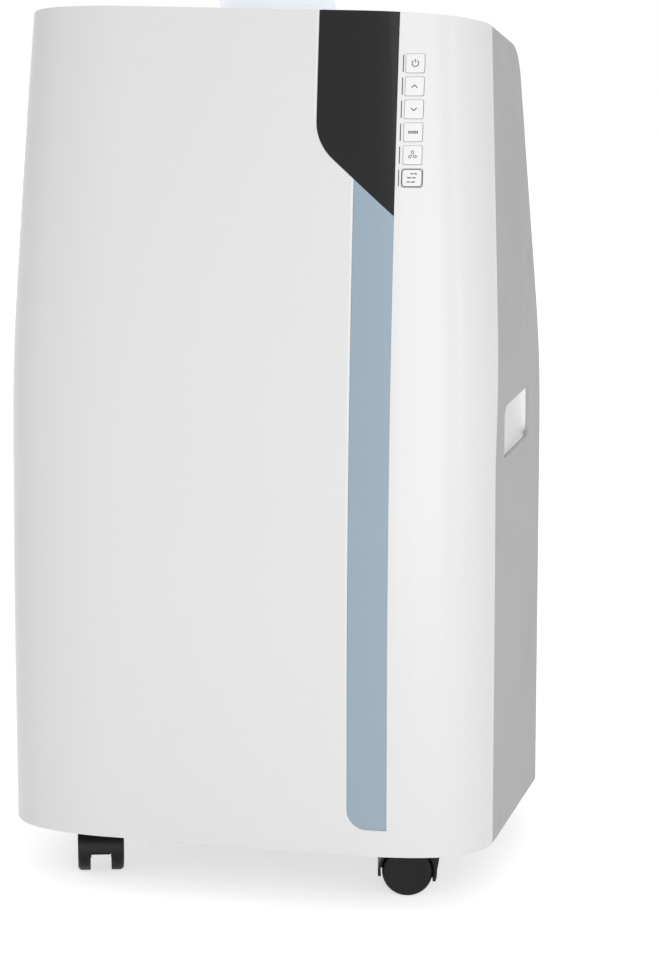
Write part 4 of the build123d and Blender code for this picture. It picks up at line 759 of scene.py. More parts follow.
def side_cover(name, side):
    """Upright columns up to the grip, and a blend of four border curves above the fan level.

    The blend is the sum of the two straight blends between facing borders, less the blend of the
    four corners (a Coons patch). Columns are a share along the plan, with 1 and 2 at the grip.
    """
    arc = rear_corner()
    half = len(arc) // 2
    y_lines = corner_lines(GRIP_FRONT, GRIP_REAR, GRIP_MARGIN, (GRIP_SOFT, GRIP_SOFT))
    z_lines = corner_lines(GRIP_LOW, GRIP_HIGH, GRIP_MARGIN, (GRIP_SOFT, GRIP_SOFT))
    front, back = y_lines[0], y_lines[-1]
    z_low_rows = np.concatenate([spread(BASE_Z, z_lines[0], step=SIDE_STEP)[:-1], z_lines,
                                 spread(z_lines[-1], FAN_LEVEL, step=SIDE_STEP)[1:]])
    bands = [spread(0.0, 1.0, step=0.11), 1 + (y_lines - front) / (back - front),
             spread(2.0, 3.0, step=0.2)]
    share = np.unique(np.concatenate(bands))
    fan_share = np.linspace(0.0, 1.0, len(share))

    z = z_low_rows[:, None]
    seam = seam_y(z) + SHUT_GAP / 2
    rear = cheek_y(z)
    upright = np.select([share <= 1, share <= 2],
                        [seam + (front - seam) * share, front + (back - front) * (share - 1)],
                        back + (rear - back) * (share - 2))
    fanned = seam + (rear - seam) * fan_share
    turn = np.clip((z - z_lines[-1]) / (FAN_LEVEL - z_lines[-1]), 0.0, 1.0)
    y_low = upright + (fanned - upright) * smooth_step(turn)

    rise = np.linspace(0.0, 1.0, FAN_ROWS + 1)
    seam_top = float(top_z(seam_y(SEAM_HEAD)))
    left = np.stack([seam_y(FAN_LEVEL + (seam_top - FAN_LEVEL) * rise) + SHUT_GAP / 2,
                     FAN_LEVEL + (seam_top - FAN_LEVEL) * rise], -1)
    rear_line = np.linspace(FAN_LEVEL, arc[0, 1], 12)[:-1]
    rear_points = np.stack([cheek_y(rear_line), rear_line], -1)
    right = resample(np.vstack([rear_points, arc[:half + 1]]), rise)
    top_line = np.linspace(0.0, 1.0, 12)[:-1, None] * (arc[-1] - left[-1]) + left[-1]
    top = resample(np.vstack([top_line, arc[half:][::-1]]), fan_share)
    bottom = np.stack([y_low[-1], np.full(len(share), FAN_LEVEL)], -1)
    f, g = fan_share[None, :, None], rise[:, None, None]
    blend = ((1 - g) * bottom[None] + g * top[None] + (1 - f) * left[:, None] + f * right[:, None]
             - (1 - f) * (1 - g) * bottom[0] - f * (1 - g) * bottom[-1]
             - (1 - f) * g * top[0] - f * g * top[-1])
    y = np.vstack([y_low, blend[1:, :, 0]])
    z = np.vstack([np.broadcast_to(z_low_rows[:, None], y_low.shape), blend[1:, :, 1]])
    block = ([nearest(z_low_rows, level) for level in z_lines[[0, -1]]],
             [nearest(share, level) for level in (1.0, 2.0)])
    points, rings = side_at(y, z).reshape(-1, 3).tolist(), []
    add_rings(points, rings, np.stack([y, z], -1), block, GRIP_BOX, GRIP_RADII, side_at)
    faces = np.vstack([grid_faces(*y.shape, block_mask(y.shape, [block])), rings])
    return mirrored(name, np.array(points), faces, side)


for side, suffix in SIDES:
    piece = walled(side_cover(f"side_cover_{suffix}", side), WALL, 0.5 * MM)
    fitted(piece, "cabinet", "side_grey", f"side_panel_{suffix}")
    print(piece.name, "faces", len(piece.data.polygons))

# %% [markdown]
# ## Grips
#
# Behind each opening lies a scoop for the fingers. It is shallow at its foot and deep under its
# upper edge. At the rear it rises to the surface along a quarter of an ellipse, so that it has no
# corner there that could hold dirt. Its border lies just behind the side panel.

# %% Finger scoops
SCOOP_FOOT = 9.0 * MM
SCOOP_DEEP = 21.0 * MM
SCOOP_WALL = 1.4 * MM
SCOOP_BORDER = 2.0 * MM
SCOOP_BEHIND = 0.1 * MM
EASE_FRONT, EASE_REAR, EASE_FOOT, EASE_HEAD = 4.0 * MM, 36.0 * MM, 6.0 * MM, 5.0 * MM


def ease(distance, reach):
    """Quarter of an ellipse: 0 at the edge, 1 at a distance of reach and beyond."""
    return np.sqrt(1.0 - (1.0 - np.clip(distance / reach, 0.0, 1.0)) ** 2)


def finger_scoop(name, side):
    """Depth below the shell: the border depth plus the local depth times the ease of each edge."""
    y = spread(GRIP_FRONT - SCOOP_BORDER, GRIP_FRONT, GRIP_FRONT + 6 * MM, GRIP_REAR - 30 * MM,
               GRIP_REAR, GRIP_REAR + SCOOP_BORDER, step=1.5 * MM)
    z = spread(GRIP_LOW - SCOOP_BORDER, GRIP_LOW, GRIP_LOW + 7 * MM, GRIP_HIGH,
               GRIP_HIGH + SCOOP_BORDER, step=1.0 * MM)[:, None]
    climb = smooth_step(np.clip((z - GRIP_LOW) / (GRIP_HIGH - GRIP_LOW), 0.0, 1.0))
    deep = SCOOP_FOOT + (SCOOP_DEEP - SCOOP_FOOT) * climb - WALL
    shape = (ease(y - GRIP_FRONT, EASE_FRONT) * ease(GRIP_REAR - y, EASE_REAR)
             * ease(z - GRIP_LOW, EASE_FOOT) * ease(GRIP_HIGH - z, EASE_HEAD))
    y, z = np.broadcast_arrays(y, z)
    points = side_at(y, z, WALL + SCOOP_BEHIND + deep * shape)
    return mirrored(name, points, grid_faces(*y.shape), side)


for side, suffix in SIDES:
    scoop = walled(finger_scoop(f"finger_scoop_{suffix}", side), SCOOP_WALL, 0.3 * MM, 1)
    fitted(scoop, "cabinet", "grip_white", f"handle_cup_{suffix}")
    print(scoop.name, "faces", len(scoop.data.polygons))

# %% [markdown]
# ## Closed pieces from rings
#
# Keys, wheels and hubs are closed bodies. Each is a stack of rings: every ring has the same number
# of points, neighbouring rings are joined by quads that run all the way round, and the first and
# last rings shrink to one point, so that the body is closed without a seam.

# %% Ring helpers
def ring_faces(rings, count, start=0):
    """Faces of a closed body: a pole, then full rings of count points, then a pole."""
    body = start + 1 + np.arange((rings - 2) * count).reshape(rings - 2, count)
    ahead = np.roll(body, -1, axis=1)
    quads = np.stack([body[:-1], ahead[:-1], ahead[1:], body[1:]], -1).reshape(-1, 4)
    last = start + 1 + (rings - 2) * count
    first_fan = np.stack([np.full(count, start), ahead[0], body[0]], -1)
    last_fan = np.stack([np.full(count, last), body[-1], ahead[-1]], -1)
    return quads.tolist() + first_fan.tolist() + last_fan.tolist()


def ring_object(name, bodies):
    """One object from several closed bodies, each an array (rings, count, 3)."""
    points, faces = [], []
    for body in bodies:
        rings, count = body.shape[:2]
        start = len(points)
        points += [body[0].mean(0).tolist()] + body[1:-1].reshape(-1, 3).tolist()
        points += [body[-1].mean(0).tolist()]
        faces += ring_faces(rings, count, start)
    return outward(new_piece(name, points, faces))


# %% [markdown]
# ## Keys
#
# A key is a small rectangle with round corners that follows the curve of the column. From the
# middle outward the rings climb over a faint crown and roll over the rim. Just below the surface a
# shoulder of the same pale plastic nearly fills the gap, so that the outline of a key is a faint
# line. Then they go down the wall and out into the flange that keeps the key from falling out.
# A key is pressed straight back while the shell leans away there, so in its hole it drifts to the
# right: on that side there is no shoulder, and the wall steps in.

# %% Key caps
KEY_SINK = 0.25 * MM
CROWN = 0.12 * MM
CAP_ROLL = 0.45 * MM
FLANGE_FRONT = WALL + SHUT_GAP
SHOULDER_SINK = 1.0 * MM
SHOULDER_WIDE = 0.17 * MM
SHOULDER_FALL = 0.05 * MM


def key_cap(name, count=96):
    """Rings (share of the outline, extra width, inset below the shell) of one key."""
    centre, half = key_middle(name)
    half = half - KEY_GAP
    angle = np.linspace(0.0, 2 * math.pi, count, endpoint=False) + math.pi / count
    square = np.stack([np.cos(angle), np.sin(angle)], -1)
    square /= np.abs(square).max(1, keepdims=True)
    box = (-half[0], half[0], -half[1], half[1])
    outline = np.array([edge_point(corner * half * 1.05, box, [KEY_CORNER - KEY_GAP] * 4)
                        for corner in square]) / half
    turn = np.linspace(0.0, math.pi / 2, 5)
    lip, back = KEY_GAP + KEY_LIP, FLANGE_FRONT + KEY_LIP
    profile = [(0.0, 0.0, KEY_SINK), (0.4, 0.0, KEY_SINK), (0.8, 0.0, KEY_SINK + CROWN / 2)]
    profile += [(1.0, -CAP_ROLL * (1 - math.sin(t)),
                 KEY_SINK + CROWN + CAP_ROLL * (1 - math.cos(t))) for t in turn]
    profile += [(1.0, 0.0, SHOULDER_SINK), (1.0, SHOULDER_WIDE, SHOULDER_SINK + SHOULDER_FALL),
                (1.0, SHOULDER_WIDE, FLANGE_FRONT), (1.0, lip, FLANGE_FRONT), (1.0, lip, back),
                (0.4, 0.0, back), (0.0, 0.0, back)]
    rings = []
    for share, extra, inset in profile:
        step_in = (outline[:, 0] > 0) & (extra == SHOULDER_WIDE)
        across = np.where(step_in, -SHOULDER_WIDE / 2, extra)
        x = centre[0] + outline[:, 0] * (half[0] + across) * share
        z = centre[1] + outline[:, 1] * (half[1] + extra) * share
        rings.append(face_at(x, z, inset))
    return np.stack(rings)


for name in KEY_NAMES:
    piece = ring_object(f"cap_{name}", [key_cap(name)])
    fitted(piece, f"button_{name}", "key_silver", f"key_{name}")
print("key caps", len(KEY_NAMES))

# %% [markdown]
# ## Printed signs
#
# The signs on the keys are pad prints: flat ink with no visible height. The thin dark lines
# beside the keys are drawn the same way, in the same dark material. Each stroke is a ribbon of
# constant width along a line of points, with a hair of thickness, so that it is a closed body
# that catches light as ink does.

# %% Strokes
INK = 0.03 * MM


def ribbon(line, width, closed=False):
    """Left and right border of a stroke; each lies half a width from the line along its normal."""
    line = np.asarray(line, float)
    if closed:
        ahead, behind = np.roll(line, -1, 0), np.roll(line, 1, 0)
    else:
        ahead = np.vstack([line[1:], 2 * line[-1] - line[-2]])
        behind = np.vstack([2 * line[0] - line[1], line[:-1]])
    first, second = line - behind, ahead - line
    first /= np.hypot(*first.T)[:, None]
    second /= np.hypot(*second.T)[:, None]
    normal = np.stack([-(first + second)[:, 1], (first + second)[:, 0]], -1)
    normal /= np.maximum(np.hypot(*normal.T)[:, None], 1e-9)
    mitre = np.maximum((normal * np.stack([-first[:, 1], first[:, 0]], -1)).sum(1), 0.5)
    offset = normal * (width / 2 / mitre)[:, None]
    return line + offset, line - offset


def print_object(name, strokes, centre, inset):
    """Printed strokes (points in millimetres about a centre, width, closed) on the shell."""
    points, faces = [], []
    for line, width, closed in strokes:
        left, right = ribbon(np.asarray(line) * MM, width * MM, closed)
        count = len(left)
        start = len(points)
        for border, depth in ((left, inset - INK), (right, inset - INK), (right, inset + INK),
                              (left, inset + INK)):
            x, z = centre[0] + border[:, 0], centre[1] + border[:, 1]
            points += face_at(x, z, depth).tolist()
        corner = start + np.arange(4 * count).reshape(4, count)
        steps = np.arange(count if closed else count - 1)
        following = (steps + 1) % count
        for index in range(4):
            here, there = corner[index], corner[(index + 1) % 4]
            faces += np.stack([here[steps], there[steps], there[following], here[following]],
                              -1).tolist()
        if not closed:
            faces += [corner[:, 0].tolist()[::-1], corner[:, -1].tolist()]
    return outward(new_piece(name, points, faces, smooth=False))


print("ink", INK / MM, "mm")


# %% Shapes of the signs
def arc_line(radius, start, end, count=25, centre=(0.0, 0.0)):
    """Arc from start to end in degrees: centre + radius times (cosine, sine) of the turn."""
    turn = np.radians(np.linspace(start, end, count))
    return np.stack([centre[0] + radius * np.cos(turn), centre[1] + radius * np.sin(turn)], -1)


def rounded_box(half_x, half_z, radius, count=7):
    """Closed outline of a rectangle with round corners."""
    corners = [(half_x - radius, half_z - radius, 0), (radius - half_x, half_z - radius, 90),
               (radius - half_x, radius - half_z, 180), (half_x - radius, radius - half_z, 270)]
    return np.vstack([arc_line(radius, turn, turn + 90, count, (x, z)) for x, z, turn in corners])


LEAF_MIDDLE, LEAF_LONG, LEAF_WIDE = 2.25, 1.35, 0.95
LEAF_EGG, LEAF_LEAN = 0.35, 0.22


def fan_leaf(turn, count=20):
    """One leaf of the fan sign: a slanting egg shape whose narrow end points at the hub.

    It is an ellipse whose width is scaled by 1 less a share of the cosine, then sheared and turned.
    """
    t = np.linspace(0.0, 2 * math.pi, count, endpoint=False)
    reach = LEAF_MIDDLE - LEAF_LONG * np.cos(t)
    across = LEAF_WIDE * np.sin(t) * (1.0 - LEAF_EGG * np.cos(t))
    angle = math.radians(turn)
    lean = across + LEAF_LEAN * (reach - LEAF_MIDDLE)
    return np.stack([reach * math.cos(angle) - lean * math.sin(angle),
                     reach * math.sin(angle) + lean * math.cos(angle)], -1)


DASH_WIDE = 0.95


def dashes(z, starts, ends):
    """Level strokes at one height, each from its start to its end."""
    return [([(start, z), (end, z)], DASH_WIDE, False) for start, end in zip(starts, ends)]


print("leaf points", len(fan_leaf(0.0)))

# %% Signs on the keys
SIGNS = {
    "power": [(arc_line(2.7, 125, 415), 0.75, False), ([(0.0, 0.7), (0.0, 3.7)], 0.75, False)],
    "up": [([(-2.4, -1.1), (0.0, 1.1), (2.4, -1.1)], 0.85, False)],
    "down": [([(-2.4, 1.1), (0.0, -1.1), (2.4, 1.1)], 0.85, False)],
    "mode": [([(x, -1.2), (x, 1.2)], 1.15, False) for x in (-3.4, -1.7, 0.0, 1.7, 3.4)],
    "fan": [(fan_leaf(turn), 0.6, True) for turn in (90, 210, 330)],
    "timer": (dashes(3.6, (-1.4, 1.7), (1.0, 4.2)) + dashes(0.2, (-4.2, 0.2), (-0.6, 3.2))
              + dashes(-3.4, (-4.2, -0.9), (-1.7, 2.6))),
}
FRAME_INSET = 0.75
FRAME_CORNER = 2.6
for name, strokes in SIGNS.items():
    centre, half = key_middle(name)
    if name == "timer":
        strokes += [(rounded_box(*(half / MM - FRAME_INSET), FRAME_CORNER), 0.7, True)]
    piece = print_object(f"sign_{name}", strokes, centre, KEY_SINK)
    fitted(piece, f"button_{name}", "display_black")

# %% Lines beside the keys
LINE_X = np.linspace(143.4, 142.2, len(KEY_NAMES))
LINE_SHORTER = 1.0
LINE_WIDE = 0.85
line_strokes = []
for x, name in zip(LINE_X, KEY_NAMES):
    z_low, z_high = np.array(key_hole(name)[2:]) / MM
    line_strokes.append(([(x, z_low + LINE_SHORTER), (x, z_high - LINE_SHORTER)], LINE_WIDE, False))
lines_piece = print_object("key_lines", line_strokes, (0.0, 0.0), 0.0)
fitted(lines_piece, "cabinet", "display_black")
print("signs", len(SIGNS), "lines", len(line_strokes))

# %% [markdown]
# ## Caster wheels
#
# A caster wheel is a turned part, so its shape is a profile of (distance along the axle, radius)
# carried once round the axle. The two wheels of a caster are mirror images on one axle. The
# profile has a flat running face, a rounded shoulder and a plain outer face. Place and direction
# of every axle come from its joint.

# %% Caster wheels
WHEEL_INNER = 9.6
WHEEL_OUTER = 21.2
WHEEL_RADIUS = 23.0
WHEEL_SHOULDER = 4.0
HUB_RADIUS = 6.0
RIM_INSIDE = 19.0
DISH = 0.8
CAP_OUT = 0.05
AXLE_RADIUS = 2.5
AXLE_HALF = 15.2


def quarter(centre_along, centre_radius, radius, count=7):
    """Quarter circle from running face to outer face: centre + radius times (cosine, sine)."""
    turn = np.linspace(math.pi / 2, 0.0, count)
    return [(centre_along + radius * math.cos(t), centre_radius + radius * math.sin(t))
            for t in turn]


def wheel_profile():
    """Closed profile in millimetres, from the axle on the inner face to it on the outer one.

    The inner face is dished between hub and rim, and the running edge there is chamfered.
    """
    dished = WHEEL_INNER + DISH
    inner = [(WHEEL_INNER, 0.0), (WHEEL_INNER, HUB_RADIUS), (dished, HUB_RADIUS + 1.0),
             (dished, RIM_INSIDE - 1.0), (WHEEL_INNER, RIM_INSIDE),
             (WHEEL_INNER, 22.2), (WHEEL_INNER + 0.25, 22.8), (dished, WHEEL_RADIUS)]
    shoulder = quarter(WHEEL_OUTER - WHEEL_SHOULDER, WHEEL_RADIUS - WHEEL_SHOULDER, WHEEL_SHOULDER)
    outer = [(WHEEL_OUTER, 15.0), (WHEEL_OUTER + CAP_OUT, HUB_RADIUS), (WHEEL_OUTER + CAP_OUT, 0.0)]
    return inner + shoulder + outer


print("wheel profile", len(wheel_profile()), "points")


# %% Wheels and axles
def turned(profile, centre, axis, side, count=72):
    """Rings of a profile carried round an axis: centre + along * axis + radius * direction."""
    axis = Vector(axis).normalized()
    across = axis.orthogonal().normalized()
    upright = axis.cross(across)
    angle = np.linspace(0.0, 2 * math.pi, count, endpoint=False)
    ring = np.cos(angle)[:, None] * np.array(across) + np.sin(angle)[:, None] * np.array(upright)
    return np.stack([np.array(centre) + side * along * MM * np.array(axis) + radius * MM * ring
                     for along, radius in profile])


joint_of = {joint["name"]: joint for joint in frame["joints"]}
CORNERS = ("fl", "fr", "rl", "rr")
for corner in CORNERS:
    joint = joint_of[f"caster_{corner}_roll"]
    bodies = [turned(wheel_profile(), joint["pos_m"], joint["axis"], side) for side in (-1, 1)]
    axle = [(-AXLE_HALF, 0.0), (-AXLE_HALF, AXLE_RADIUS), (AXLE_HALF, AXLE_RADIUS),
            (AXLE_HALF, 0.0)]
    bodies.append(turned(axle, joint["pos_m"], joint["axis"], 1))
    piece = ring_object(f"wheel_pair_{corner}", bodies)
    rounded(piece, 0.2 * MM, 1, 40.0)
    fitted(piece, f"wheels_{corner}", "wheel_black", f"caster_wheels_{corner}")
print("wheel pairs", len(CORNERS), "faces each", len(piece.data.polygons))

# %% [markdown]
# ## Edges for the pieces that keep their solid
#
# Most pieces already have the right shape: flap, vanes, grilles, screws, forks and everything
# inside. Their solids come as loose triangles with knife-sharp edges, which no moulding or
# pressing has. A small Geometry Nodes group welds the triangles, and marks an edge as sharp only
# where two faces meet at more than a given angle. Then flat triangles are joined, every sharp edge
# gets a narrow round, and weighted normals keep the flat faces flat. The mesh itself isn't touched.

# %% Weld and smooth as one node group
WELD_REACH = 0.01 * MM
SMOOTH_BELOW, ROUND_ABOVE, FLAT_BELOW = 24.0, 32.0, 0.5


def weld_group():
    """Merge by distance, shade smooth, and sharp edges above an angle."""
    group = bpy.data.node_groups.new("welded_solid", "GeometryNodeTree")
    group.interface.new_socket("Geometry", in_out="INPUT", socket_type="NodeSocketGeometry")
    reach = group.interface.new_socket("Reach", in_out="INPUT", socket_type="NodeSocketFloat")
    reach.default_value = WELD_REACH
    angle = group.interface.new_socket("Angle", in_out="INPUT", socket_type="NodeSocketFloat")
    angle.default_value = math.radians(SMOOTH_BELOW)
    group.interface.new_socket("Geometry", in_out="OUTPUT", socket_type="NodeSocketGeometry")
    add = group.nodes.new
    start, end = add("NodeGroupInput"), add("NodeGroupOutput")
    merge = add("GeometryNodeMergeByDistance")
    soft, sharp = add("GeometryNodeSetShadeSmooth"), add("GeometryNodeSetShadeSmooth")
    sharp.domain = "EDGE"
    edge_angle = add("GeometryNodeInputMeshEdgeAngle")
    compare = add("FunctionNodeCompare")
    compare.operation = "LESS_EQUAL"
    link = group.links.new
    link(start.outputs["Geometry"], merge.inputs["Geometry"])
    link(start.outputs["Reach"], merge.inputs["Distance"])
    link(merge.outputs["Geometry"], soft.inputs["Geometry"])
    link(soft.outputs["Geometry"], sharp.inputs["Geometry"])
    link(edge_angle.outputs["Unsigned Angle"], compare.inputs["A"])
    link(start.outputs["Angle"], compare.inputs["B"])
    link(compare.outputs["Result"], sharp.inputs["Shade Smooth"])
    link(sharp.outputs["Geometry"], end.inputs["Geometry"])
    return group


WELD = weld_group()


def edged(piece, rim, segments=2):
    """Welded solid with a narrow round of the given width on every sharp edge."""
    piece.modifiers.new("weld", "NODES").node_group = WELD
    flat = piece.modifiers.new("flat", "DECIMATE")
    flat.decimate_type = "DISSOLVE"
    flat.angle_limit = math.radians(FLAT_BELOW)
    rounded(piece, rim, segments, ROUND_ABOVE)
    return piece


# %% Width of the round on each kept solid
RIM_MM = {
    "air_flap": 0.9, "top_cover": 0.5, "outlet_well": 0.3, "flap_motor": 0.3, "vane_link": 0.25,
    "rear_shell": 0.5, "intake_grille": 0.4, "lower_grille": 0.4, "air_filter": 0.2,
    "hose_collar": 0.6, "cabinet_screws": 0.25, "drain_spouts": 0.4, "drain_plug_upper": 0.5,
    "drain_plug_lower": 0.5, "cord_gland": 0.5,
    "base_pan": 0.6, "mid_deck": 0.5, "caster_sockets": 0.4, "evaporator_coil": 0.4,
    "condenser_coil": 0.4, "cool_air_scroll": 0.5, "exhaust_scroll": 0.5, "cool_fan_wheel": 0.2,
    "exhaust_fan_wheel": 0.2, "cool_fan_motor": 0.6, "exhaust_fan_motor": 0.6, "compressor": 1.2,
    "compressor_grommets": 1.5, "electrical_box": 0.6, "run_capacitor": 0.6, "control_board": 0.2,
    "uv_lamp": 0.3, "refrigerant_pipes": 0.2, "filter_drier": 0.3,
}
RIM_MM.update({f"vane_{index + 1}": 0.3 for index in range(4)})
RIM_MM.update({f"caster_fork_{corner}": 0.7 for corner in CORNERS})
slot_of_node = {part["node"]: part["material_slot"] for part in frame["record"]["subparts"]}
hidden = {"front_panel", "display_panel", "accent_strip", "control_column", "side_panel_right",
          "side_panel_left", "handle_cup_right", "handle_cup_left"}
hidden |= {f"key_{name}" for name in KEY_NAMES} | {f"caster_wheels_{corner}" for corner in CORNERS}
kept = sorted(set(nodes) - hidden)
for name in kept:
    edged(nodes[name], RIM_MM[name] * MM)
print("solids kept", len(kept), "replaced", len(hidden))

# %% [markdown]
# ## Effects that several finishes share
#
# Moulded plastic is never one flat colour. Four effects repeat in nearly every finish here, so
# each is a shader node group: a fine grain in the height of the surface, a slow drift of tone, a
# change in gloss where hands and cloths have been, and a trace of dust where it can settle. Every
# group reads Object coordinates, so a pattern keeps its real scale on every piece.

# %% Group helpers
def shader_group(name, inputs, outputs):
    """Empty shader node group with these named sockets, its input and its output node."""
    group = bpy.data.node_groups.new(name, "ShaderNodeTree")
    for direction, sockets in (("INPUT", inputs), ("OUTPUT", outputs)):
        for socket_name, kind, value in sockets:
            socket = group.interface.new_socket(socket_name, in_out=direction,
                                                socket_type=f"NodeSocket{kind}")
            if value is not None:
                socket.default_value = value
    return group, group.nodes.new("NodeGroupInput"), group.nodes.new("NodeGroupOutput")


def feed(tree, socket, value):
    """Sets a socket to a number or a colour, or links it to an output."""
    if isinstance(value, (int, float, tuple)):
        socket.default_value = value
    else:
        tree.links.new(value, socket)


def math_node(tree, operation, *values):
    """Math node with its inputs linked or set; returns its output."""
    node = tree.nodes.new("ShaderNodeMath")
    node.operation = operation
    for socket, value in zip(node.inputs, values):
        feed(tree, socket, value)
    return node.outputs[0]


# %% Pattern helpers
def noise(tree, coordinates, scale, detail=2.0, roughness=0.5, distortion=0.0):
    """Noise texture at a number or a linked scale; returns its grey value."""
    node = tree.nodes.new("ShaderNodeTexNoise")
    for name, value in (("Vector", coordinates), ("Scale", scale), ("Detail", detail),
                        ("Roughness", roughness), ("Distortion", distortion)):
        feed(tree, node.inputs[name], value)
    return node.outputs["Fac"]


def color_ramp(tree, value, low, high, dark, light):
    """Colour between two stops."""
    node = tree.nodes.new("ShaderNodeValToRGB")
    for stop, place, color in zip(node.color_ramp.elements, (low, high), (dark, light)):
        stop.position, stop.color = place, (*color, 1.0)
    tree.links.new(value, node.inputs["Fac"])
    return node.outputs["Color"]


def mixed(tree, factor, first, second):
    """First colour where the factor is 0, second where it is 1."""
    node = tree.nodes.new("ShaderNodeMix")
    node.data_type = "RGBA"
    for name, value in (("Factor", factor), ("A", first), ("B", second)):
        feed(tree, node.inputs[name], value)
    return node.outputs["Result"]


def remap(group, value, low, high, to_low, to_high):
    """A value moved in a straight line from low..high to to_low..to_high, and held at the ends."""
    node = group.nodes.new("ShaderNodeMapRange")
    for socket, number in zip(node.inputs[1:5], (low, high, to_low, to_high)):
        socket.default_value = number
    group.links.new(value, node.inputs["Value"])
    return node.outputs["Result"]


def object_place(group):
    """Coordinates in metres on the object itself."""
    return group.nodes.new("ShaderNodeTexCoord").outputs["Object"]


def stretched(group, coordinates, scale):
    """Coordinates multiplied by a vector, for patterns that are longer one way."""
    node = group.nodes.new("ShaderNodeMapping")
    node.inputs["Scale"].default_value = scale
    group.links.new(coordinates, node.inputs["Vector"])
    return node.outputs["Vector"]


# %% Grain and drift of tone
def grain_group():
    """Height of spark-eroded plastic: a fine noise and a coarser one at a third of the scale."""
    group, start, end = shader_group("moulded_grain", [("Scale", "Float", 2500.0)],
                                     [("Height", "Float", None)])
    place = object_place(group)
    fine = noise(group, place, start.outputs["Scale"], 3.0, 0.6)
    coarse_scale = math_node(group, "DIVIDE", start.outputs["Scale"], 3.0)
    coarse = noise(group, place, coarse_scale, 2.0)
    both = math_node(group, "MULTIPLY_ADD", coarse, 0.6, math_node(group, "MULTIPLY", fine, 0.4))
    group.links.new(both, end.inputs["Height"])
    return group


def drift_group():
    """Colour times 1 plus or minus an amount, by a slow noise over hand-sized areas."""
    group, start, end = shader_group("tone_drift", [("Color", "Color", (0.8, 0.8, 0.8, 1.0)),
                                                    ("Amount", "Float", 0.02)],
                                     [("Color", "Color", None)])
    place = object_place(group)
    slow = noise(group, place, 7.0, 2.0)
    fine = noise(group, place, 260.0, 2.0)
    both = math_node(group, "MULTIPLY_ADD", slow, 0.75, math_node(group, "MULTIPLY", fine, 0.25))
    swing = math_node(group, "SUBTRACT", both, 0.5)
    factor = math_node(group, "MULTIPLY_ADD", swing, start.outputs["Amount"], 1.0)
    scale = group.nodes.new("ShaderNodeVectorMath")
    scale.operation = "SCALE"
    group.links.new(start.outputs["Color"], scale.inputs[0])
    group.links.new(factor, scale.inputs["Scale"])
    group.links.new(scale.outputs[0], end.inputs["Color"])
    return group


GRAIN, DRIFT = grain_group(), drift_group()
print("shared effects", GRAIN.name, DRIFT.name)


# %% Handling marks and settled dust
def marks_group():
    """Roughness plus an amount, in soft smears that run mostly upright, as a cloth leaves them."""
    group, start, end = shader_group("handling_marks", [("Roughness", "Float", 0.4),
                                                        ("Amount", "Float", 0.08)],
                                     [("Roughness", "Float", None)])
    place = stretched(group, object_place(group), (1.0, 1.0, 0.35))
    smear = remap(group, noise(group, place, 24.0, 4.0, 0.65, 0.8), 0.42, 0.72, -0.4, 1.0)
    speck = remap(group, noise(group, place, 900.0, 1.0), 0.3, 0.7, -0.3, 0.3)
    both = math_node(group, "ADD", smear, speck)
    rough = math_node(group, "MULTIPLY_ADD", both, start.outputs["Amount"],
                      start.outputs["Roughness"])
    group.links.new(rough, end.inputs["Roughness"])
    return group


def dust_group():
    """Colour with dust on faces that look up, thinner where a broken noise says so."""
    group, start, end = shader_group(
        "settled_dust", [("Color", "Color", (0.8, 0.8, 0.8, 1.0)),
                         ("Dust", "Color", (0.42, 0.40, 0.37, 1.0)), ("Amount", "Float", 0.1)],
        [("Color", "Color", None)])
    normal = group.nodes.new("ShaderNodeNewGeometry").outputs["Normal"]
    split = group.nodes.new("ShaderNodeSeparateXYZ")
    group.links.new(normal, split.inputs[0])
    up = remap(group, split.outputs["Z"], 0.25, 0.95, 0.0, 1.0)
    patch = remap(group, noise(group, object_place(group), 60.0, 5.0, 0.7), 0.35, 0.7, 0.0, 1.0)
    cover = math_node(group, "MULTIPLY", math_node(group, "MULTIPLY", up, patch),
                      start.outputs["Amount"])
    result = mixed(group, cover, start.outputs["Color"], start.outputs["Dust"])
    group.links.new(result, end.inputs["Color"])
    return group


MARKS, DUST = marks_group(), dust_group()
print("shared effects", MARKS.name, DUST.name)

# %% [markdown]
# ## Plain finishes
#
# One function builds a moulded, painted or plated finish from the shared effects. What differs
# from piece to piece is a short list of numbers: the colour, how rough and how grained the
# surface is, how much its tone drifts, and whether it has a clear glossy skin.

# %% Finish from the shared effects
def placed(material, group, **values):
    """A group node in a material, with some of its inputs set."""
    node = material.node_tree.nodes.new("ShaderNodeGroup")
    node.node_tree = group
    for name, value in values.items():
        node.inputs[name].default_value = value
    return node


def bare_material(name):
    """New material and its node tree, which holds the Principled BSDF."""
    material = bpy.data.materials.new(name)
    material.use_nodes = True
    return material, material.node_tree


def shaded(material, color, rough, marks, height, depth, settings):
    """Feeds the shader with a colour, a roughness with marks, a relief and constants.

    depth is the relief in millimetres, and settings are constants by the name of the input.
    """
    shader = material.node_tree.nodes["Principled BSDF"]
    link = material.node_tree.links.new
    gloss = placed(material, MARKS, Roughness=rough, Amount=marks)
    bump = material.node_tree.nodes.new("ShaderNodeBump")
    bump.inputs["Distance"].default_value = depth * MM
    link(color, shader.inputs["Base Color"])
    link(gloss.outputs["Roughness"], shader.inputs["Roughness"])
    link(height, bump.inputs["Height"])
    link(bump.outputs["Normal"], shader.inputs["Normal"])
    for name, value in settings.items():
        shader.inputs[name].default_value = value
    return material


# %% Colour through an effect
def toned(material, color, amount):
    """Linked colour with a drift of tone."""
    tone = placed(material, DRIFT, Amount=amount)
    material.node_tree.links.new(color, tone.inputs["Color"])
    return tone.outputs["Color"]


def dusted(material, color, amount):
    """Linked colour below a trace of dust."""
    film = placed(material, DUST, Amount=amount)
    material.node_tree.links.new(color, film.inputs["Color"])
    return film.outputs["Color"]


